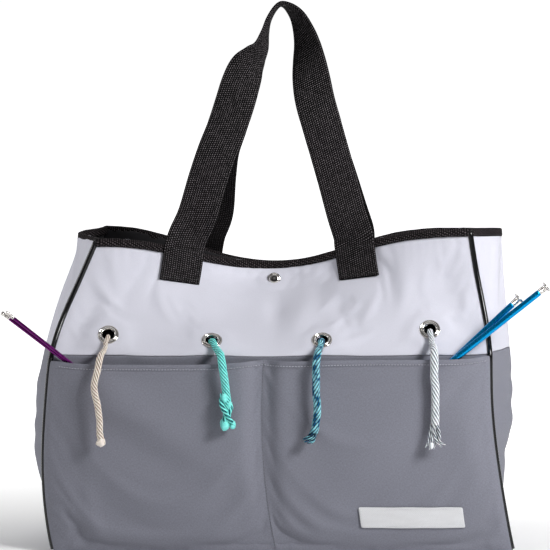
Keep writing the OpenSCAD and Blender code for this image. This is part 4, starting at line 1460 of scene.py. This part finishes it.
def wall_y(face, x, z, out):
    """How far forward or back the outside of a wall is at a place, out proud of its middle."""
    u = x / half_w(1)
    for _ in range(4):
        v = min(1, mix(SEAM_V, 1, (z - SEAM_H) / (rim_z(u, face) - SEAM_H)))
        u = (x - lean_x(v) - RIM_SHIFT * (1 - u * u) * upper(v)) / half_w(v)
    return wall(face, u, v, out)[1]


def foot_points(face, end):
    """The sewn end's middle line, from its lower edge up to the rim, on the outside of the wall."""
    leg_x = (FRONT_FEET if face == FRONT else BACK_FEET)[end]
    v_low = 1 - FOOT_LEN / (rim_z(0.45, face) - SEAM_H) * (1 - SEAM_V)
    points = []
    for k in steps(0, 1, 4):
        v = mix(v_low, 1, k)
        x = leg_x + (1 - k) * (-FOOT_LEAN if leg_x < 0 else FOOT_LEAN)
        u = (x - lean_x(v) - RIM_SHIFT * 0.8 * upper(v)) / half_w(v)
        points.append(tuple(wall(face, u, v, FOOT_OFF)) + (0,))
    return points


def handle_line(face):
    left = foot_points(face, 0) + leg_points(LEFT_ROUTE, 0, LEG_LEFT_Y, face)
    right = foot_points(face, 1) + leg_points(RIGHT_ROUTE, 1, LEG_RIGHT_Y, face)
    line = left + [(HANDLE_MID_X, face * TOP_Y, HANDLE_TOP, 90)] + right[::-1]
    return even_path(smooth_path(line, 8), 2.0)


WEB_PROFILE = []
for web_sign in (1, -1):
    for share in steps(-web_sign, web_sign, 16):
        edge = math.sqrt(max(0.0, 1 - max(0, abs(share) * WEB_W / 2 - (WEB_W / 2 - 1.0)) ** 2))
        WEB_PROFILE.append((share * WEB_W / 2, web_sign * WEB_T / 2 * (0.35 + 0.65 * edge)))


def handle(face, name):
    """One strap from foot to foot, blended between the bag and the handle's body near the rim."""
    line = handle_line(face)
    n = len(line)
    rows = []
    uv_rows = []
    travelled = 0.0
    for i, point in enumerate(line):
        p = point[:3]
        along = unit(line[min(i + 1, n - 1)][:3] - line[max(i - 1, 0)][:3])
        a = unit(np.cross(along, [0, 1.0, 0]))
        b = np.cross(along, a)
        twist = math.radians(point[3])
        wide = math.cos(twist) * a + math.sin(twist) * b
        flat = np.cross(along, wide)
        if i:
            travelled += dist(p, line[i - 1][:3]) * MM
        # The webbing cups a little across its width, more where it turns at the top.
        cup = 1.2 + 2.2 * math.sin(twist)
        ring = []
        uv = []
        for j, (w, t) in enumerate(WEB_PROFILE + WEB_PROFILE[:1]):
            bend = cup * (1 - (2 * w / WEB_W) ** 2) * 0.5
            if j < len(WEB_PROFILE):
                free = ease((p[2] - HINGE_Z + 8) / FOOT_FADE)
                q = p + wide * w + flat * (t + bend * free)
                # Near the rim the webbing lies on the wall, so it takes the wall's slant across its width.
                on_wall = wall_y(face, q[0], q[2], FOOT_OFF) + np.dot(flat, [0, 1, 0]) * t
                q[1] = mix(on_wall, q[1], free)
                ring.append(q)
            uv.append((w * MM, travelled))
        rows.append(ring)
        uv_rows.append(uv)
    build = Build()
    build.grid(rows, uv_rows, close_columns=True)
    build.close_ends(0, n, len(WEB_PROFILE), (0.0, 0.0), first_backwards=False)
    # The back strap takes the darker webbing: painted shade, as it sits in shadow.
    obj = build.make(f"strap_{name}", "webbing" if face == FRONT else "webbing_inside")
    welded(obj)
    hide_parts(f"handle_{name}", f"foot_{name}_left", f"foot_{name}_right")
    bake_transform(obj)
    return line


def foot_stitches(face, name, line):
    """A sewn box on each foot, in black thread."""
    for end, part in (("left", line[:19]), ("right", line[::-1][:19])):
        low = part[2][:3]
        high = part[-3][:3]
        up = unit(high - low)
        across = unit(np.cross(up, [0, 1.0, 0]))
        half = WEB_W / 2 - 3
        corners = [low - across * half, low + across * half, high + across * half, high - across * half,
                   low - across * half]
        path = []
        for k in range(4):
            for t in steps(0, 1, 8)[:-1]:
                point = mix(corners[k], corners[k + 1], t)
                point[1] = wall_y(face, point[0], point[2], FOOT_OFF + WEB_T / 2 + 0.05)
                path.append(point)
        path.append(path[0])
        out = wall_out(face, 0.4 if end == "right" else -0.4, 0.95)
        stitch_row(f"strap_{name}_{end}_stitch", path, [out] * len(path), "thread_black")


for face, name in ((FRONT, "front"), (BACK, "back")):
    foot_stitches(face, name, handle(face, name))


# ---- label -------------------------------------------------------------------------------------------
LABEL_W = 98
LABEL_H = 20
LABEL_X = 127
LABEL_Z = 34


def label():
    """A plain woven label, sewn on near its edge."""
    off = CLOTH + 0.9
    build = Build()
    rows = []
    uv = []
    for z in steps(LABEL_Z - LABEL_H / 2, LABEL_Z + LABEL_H / 2, 8):
        row = []
        for x in steps(LABEL_X - LABEL_W / 2, LABEL_X + LABEL_W / 2, 30):
            cloth_y = pocket_at(x / half_w(0.1), z)[1]
            row.append(np.array([x + lean_x(z / RIM_H), cloth_y - off, z]))
        rows.append(row)
        uv.append([(p[0] * MM, p[2] * MM) for p in row])
    build.grid(rows, uv)
    sewn(build, "label_cloth", "label_fabric", 0.7, "blank_label")
    inner = 2.0
    last = len(rows) - 1
    edge = ([rows[0][c] + (0, -0.4, inner) for c in range(1, 30)]
            + [rows[r][-1] + (-inner, -0.4, 0) for r in range(1, last)]
            + [rows[last][c] + (0, -0.4, -inner) for c in range(29, 0, -1)]
            + [rows[r][0] + (inner, -0.4, 0) for r in range(last - 1, 0, -1)])
    edge.append(edge[0])
    stitch_row("label_stitch", edge, [np.array([0, -1.0, 0])] * len(edge), "thread_pale",
               pitch=2.4, length=1.6, radius=0.25)


label()


# ---- needles --------------------------------------------------------------------------------------------
# Exit from the pocket, side, slope in degrees, length inside, diameter, flange radius.
NEEDLES = {
    "purple_1": ((-212.5, -96.4, SEAM_H), LEFT, 37.5, 185, THIN_DIA, 2.2),
    "purple_2": ((-208.5, -99.8, SEAM_H), LEFT, 38.5, 185, THIN_DIA, 2.2),
    "blue_1": ((164.5, -102.2, SEAM_H), RIGHT, 38.5, 146, THICK_DIA, 5.6),
    "blue_2": ((164.5, -95.9, SEAM_H), RIGHT, 43.5, 172, THICK_DIA, 5.6),
}
CAP_LEN = 9


def needle(name):
    """A pointed shaft and the grooved metal cap on its other end."""
    exit_at, side, slope, inside, dia, flange = NEEDLES[name]
    way = np.array([side * math.cos(math.radians(slope)), 0, math.sin(math.radians(slope))])
    tip = np.array(exit_at, float) - way * inside
    r = dia / 2
    long = NEEDLE_LEN - CAP_LEN
    shaft = [(0.0, 0.0), (0.3, 0.05), (0.5, 0.3), (mix(0.5, r, 0.45), dia * 1.1),
             (mix(0.5, r, 0.85), dia * 2.2), (r, dia * 3)]
    shaft += [(r, mix(dia * 3, long - 2, t)) for t in steps(0.05, 1, 24)]
    shaft += [(r * 0.97, long - 0.4), (0.0, long - 0.4)]
    body = f"needle_{name}"
    metal = "purple_metal" if "purple" in name else "blue_metal"
    turned(f"needle_shaft_{name}", metal, body, body, shaft, tip, way, 24)
    sleeve = r + 0.3
    cap = [(0.0, 0.0), (sleeve - 0.2, 0.0), (sleeve, 0.25)]
    for k in range(4):
        z = 0.9 + k * 1.35
        cap += [(sleeve, z), (sleeve - 0.28, z + 0.2), (sleeve - 0.28, z + 0.5), (sleeve, z + 0.7)]
    for r_part, below_top in ((sleeve, 2.6), (mix(sleeve, flange, 0.7), 2.0), (flange, 1.5), (flange, 0.9),
                              (flange * 0.92, 0.5), (flange * 0.6, 0.15), (0.0, 0.02)):
        cap.append((r_part, CAP_LEN - below_top))
    turned(f"needle_head_{name}", "nickel", body, f"needle_cap_{name}", cap, tip + way * long, way, 36)


for needle_name in NEEDLES:
    needle(needle_name)


# ---- floor and light ---------------------------------------------------------------------------------
def stage():
    """A round flat floor that reaches as far as the eye can see."""
    reach = 40.0
    build = Build()
    rows = []
    for radius in (0.0, 1.5, 3.0, 6.0, 12.0, reach):
        rows.append([np.array([radius * math.cos(t), radius * math.sin(t), -0.0005]) / MM
                     for t in steps(0, 2 * math.pi, 48)[:-1]])
    build.grid(rows, [[(0.0, 0.0)] * 49 for _ in rows], close_columns=True)
    LOOKS["floor"] = floor_material("floor")
    welded(build.make("studio_floor", "floor"))


# Name, place, what it points at, width and height in metres, and watts.
LIGHTS = [
    ("key", (0.84, -0.86, 0.86), (0.12, 0, 0.24), (0.4, 0.4), 16.6),
    ("left", (-1.6, 0.1, 0.6), (-0.1, 0, 0.25), (0.5, 0.9), 9.5),
    ("top", (0.1, -0.3, 1.9), (0, 0, 0.25), (1.2, 0.9), 2),
]


def area_light(name, place, target, size, power):
    data = bpy.data.lights.new(name, "AREA")
    data.shape = "RECTANGLE"
    data.size, data.size_y = size
    data.energy = power
    obj = bpy.data.objects.new(name, data)
    bpy.context.collection.objects.link(obj)
    obj.location = place
    obj.rotation_euler = (Vector(target) - Vector(place)).to_track_quat("-Z", "Y").to_euler()


def lights():
    """A dim room with a lit backdrop behind the bag, a near key light on the right and one on the left."""
    n = Nodes("studio", "worlds", "Background")
    x, y, z = n.split(n.coords("Generated"))
    ahead = n.math("MAXIMUM", y, 0.001)
    side = n.math("DIVIDE", n.math("ABSOLUTE", x), ahead)
    rise = n.math("DIVIDE", z, ahead)
    backdrop = n.times(n.ramp(side, 0.30, 0.50, 1.02, 0.0), n.ramp(rise, 1.5, 1.7, 1.0, 0.0))
    room = n.math("MAXIMUM", n.ramp(z, 0.05, 0.75, 0.04, 0.26), n.ramp(z, 0.08, 0.16, 0.19, 0.0))
    n.link(n.math("MAXIMUM", room, backdrop), n.shader.inputs["Strength"])
    n.shader.inputs["Color"].default_value = (1.0, 1.0, 1.0, 1.0)
    bpy.context.scene.world = n.material
    for light in LIGHTS:
        area_light(*light)
    bpy.context.scene.view_settings.view_transform = "Standard"


stage()
lights()
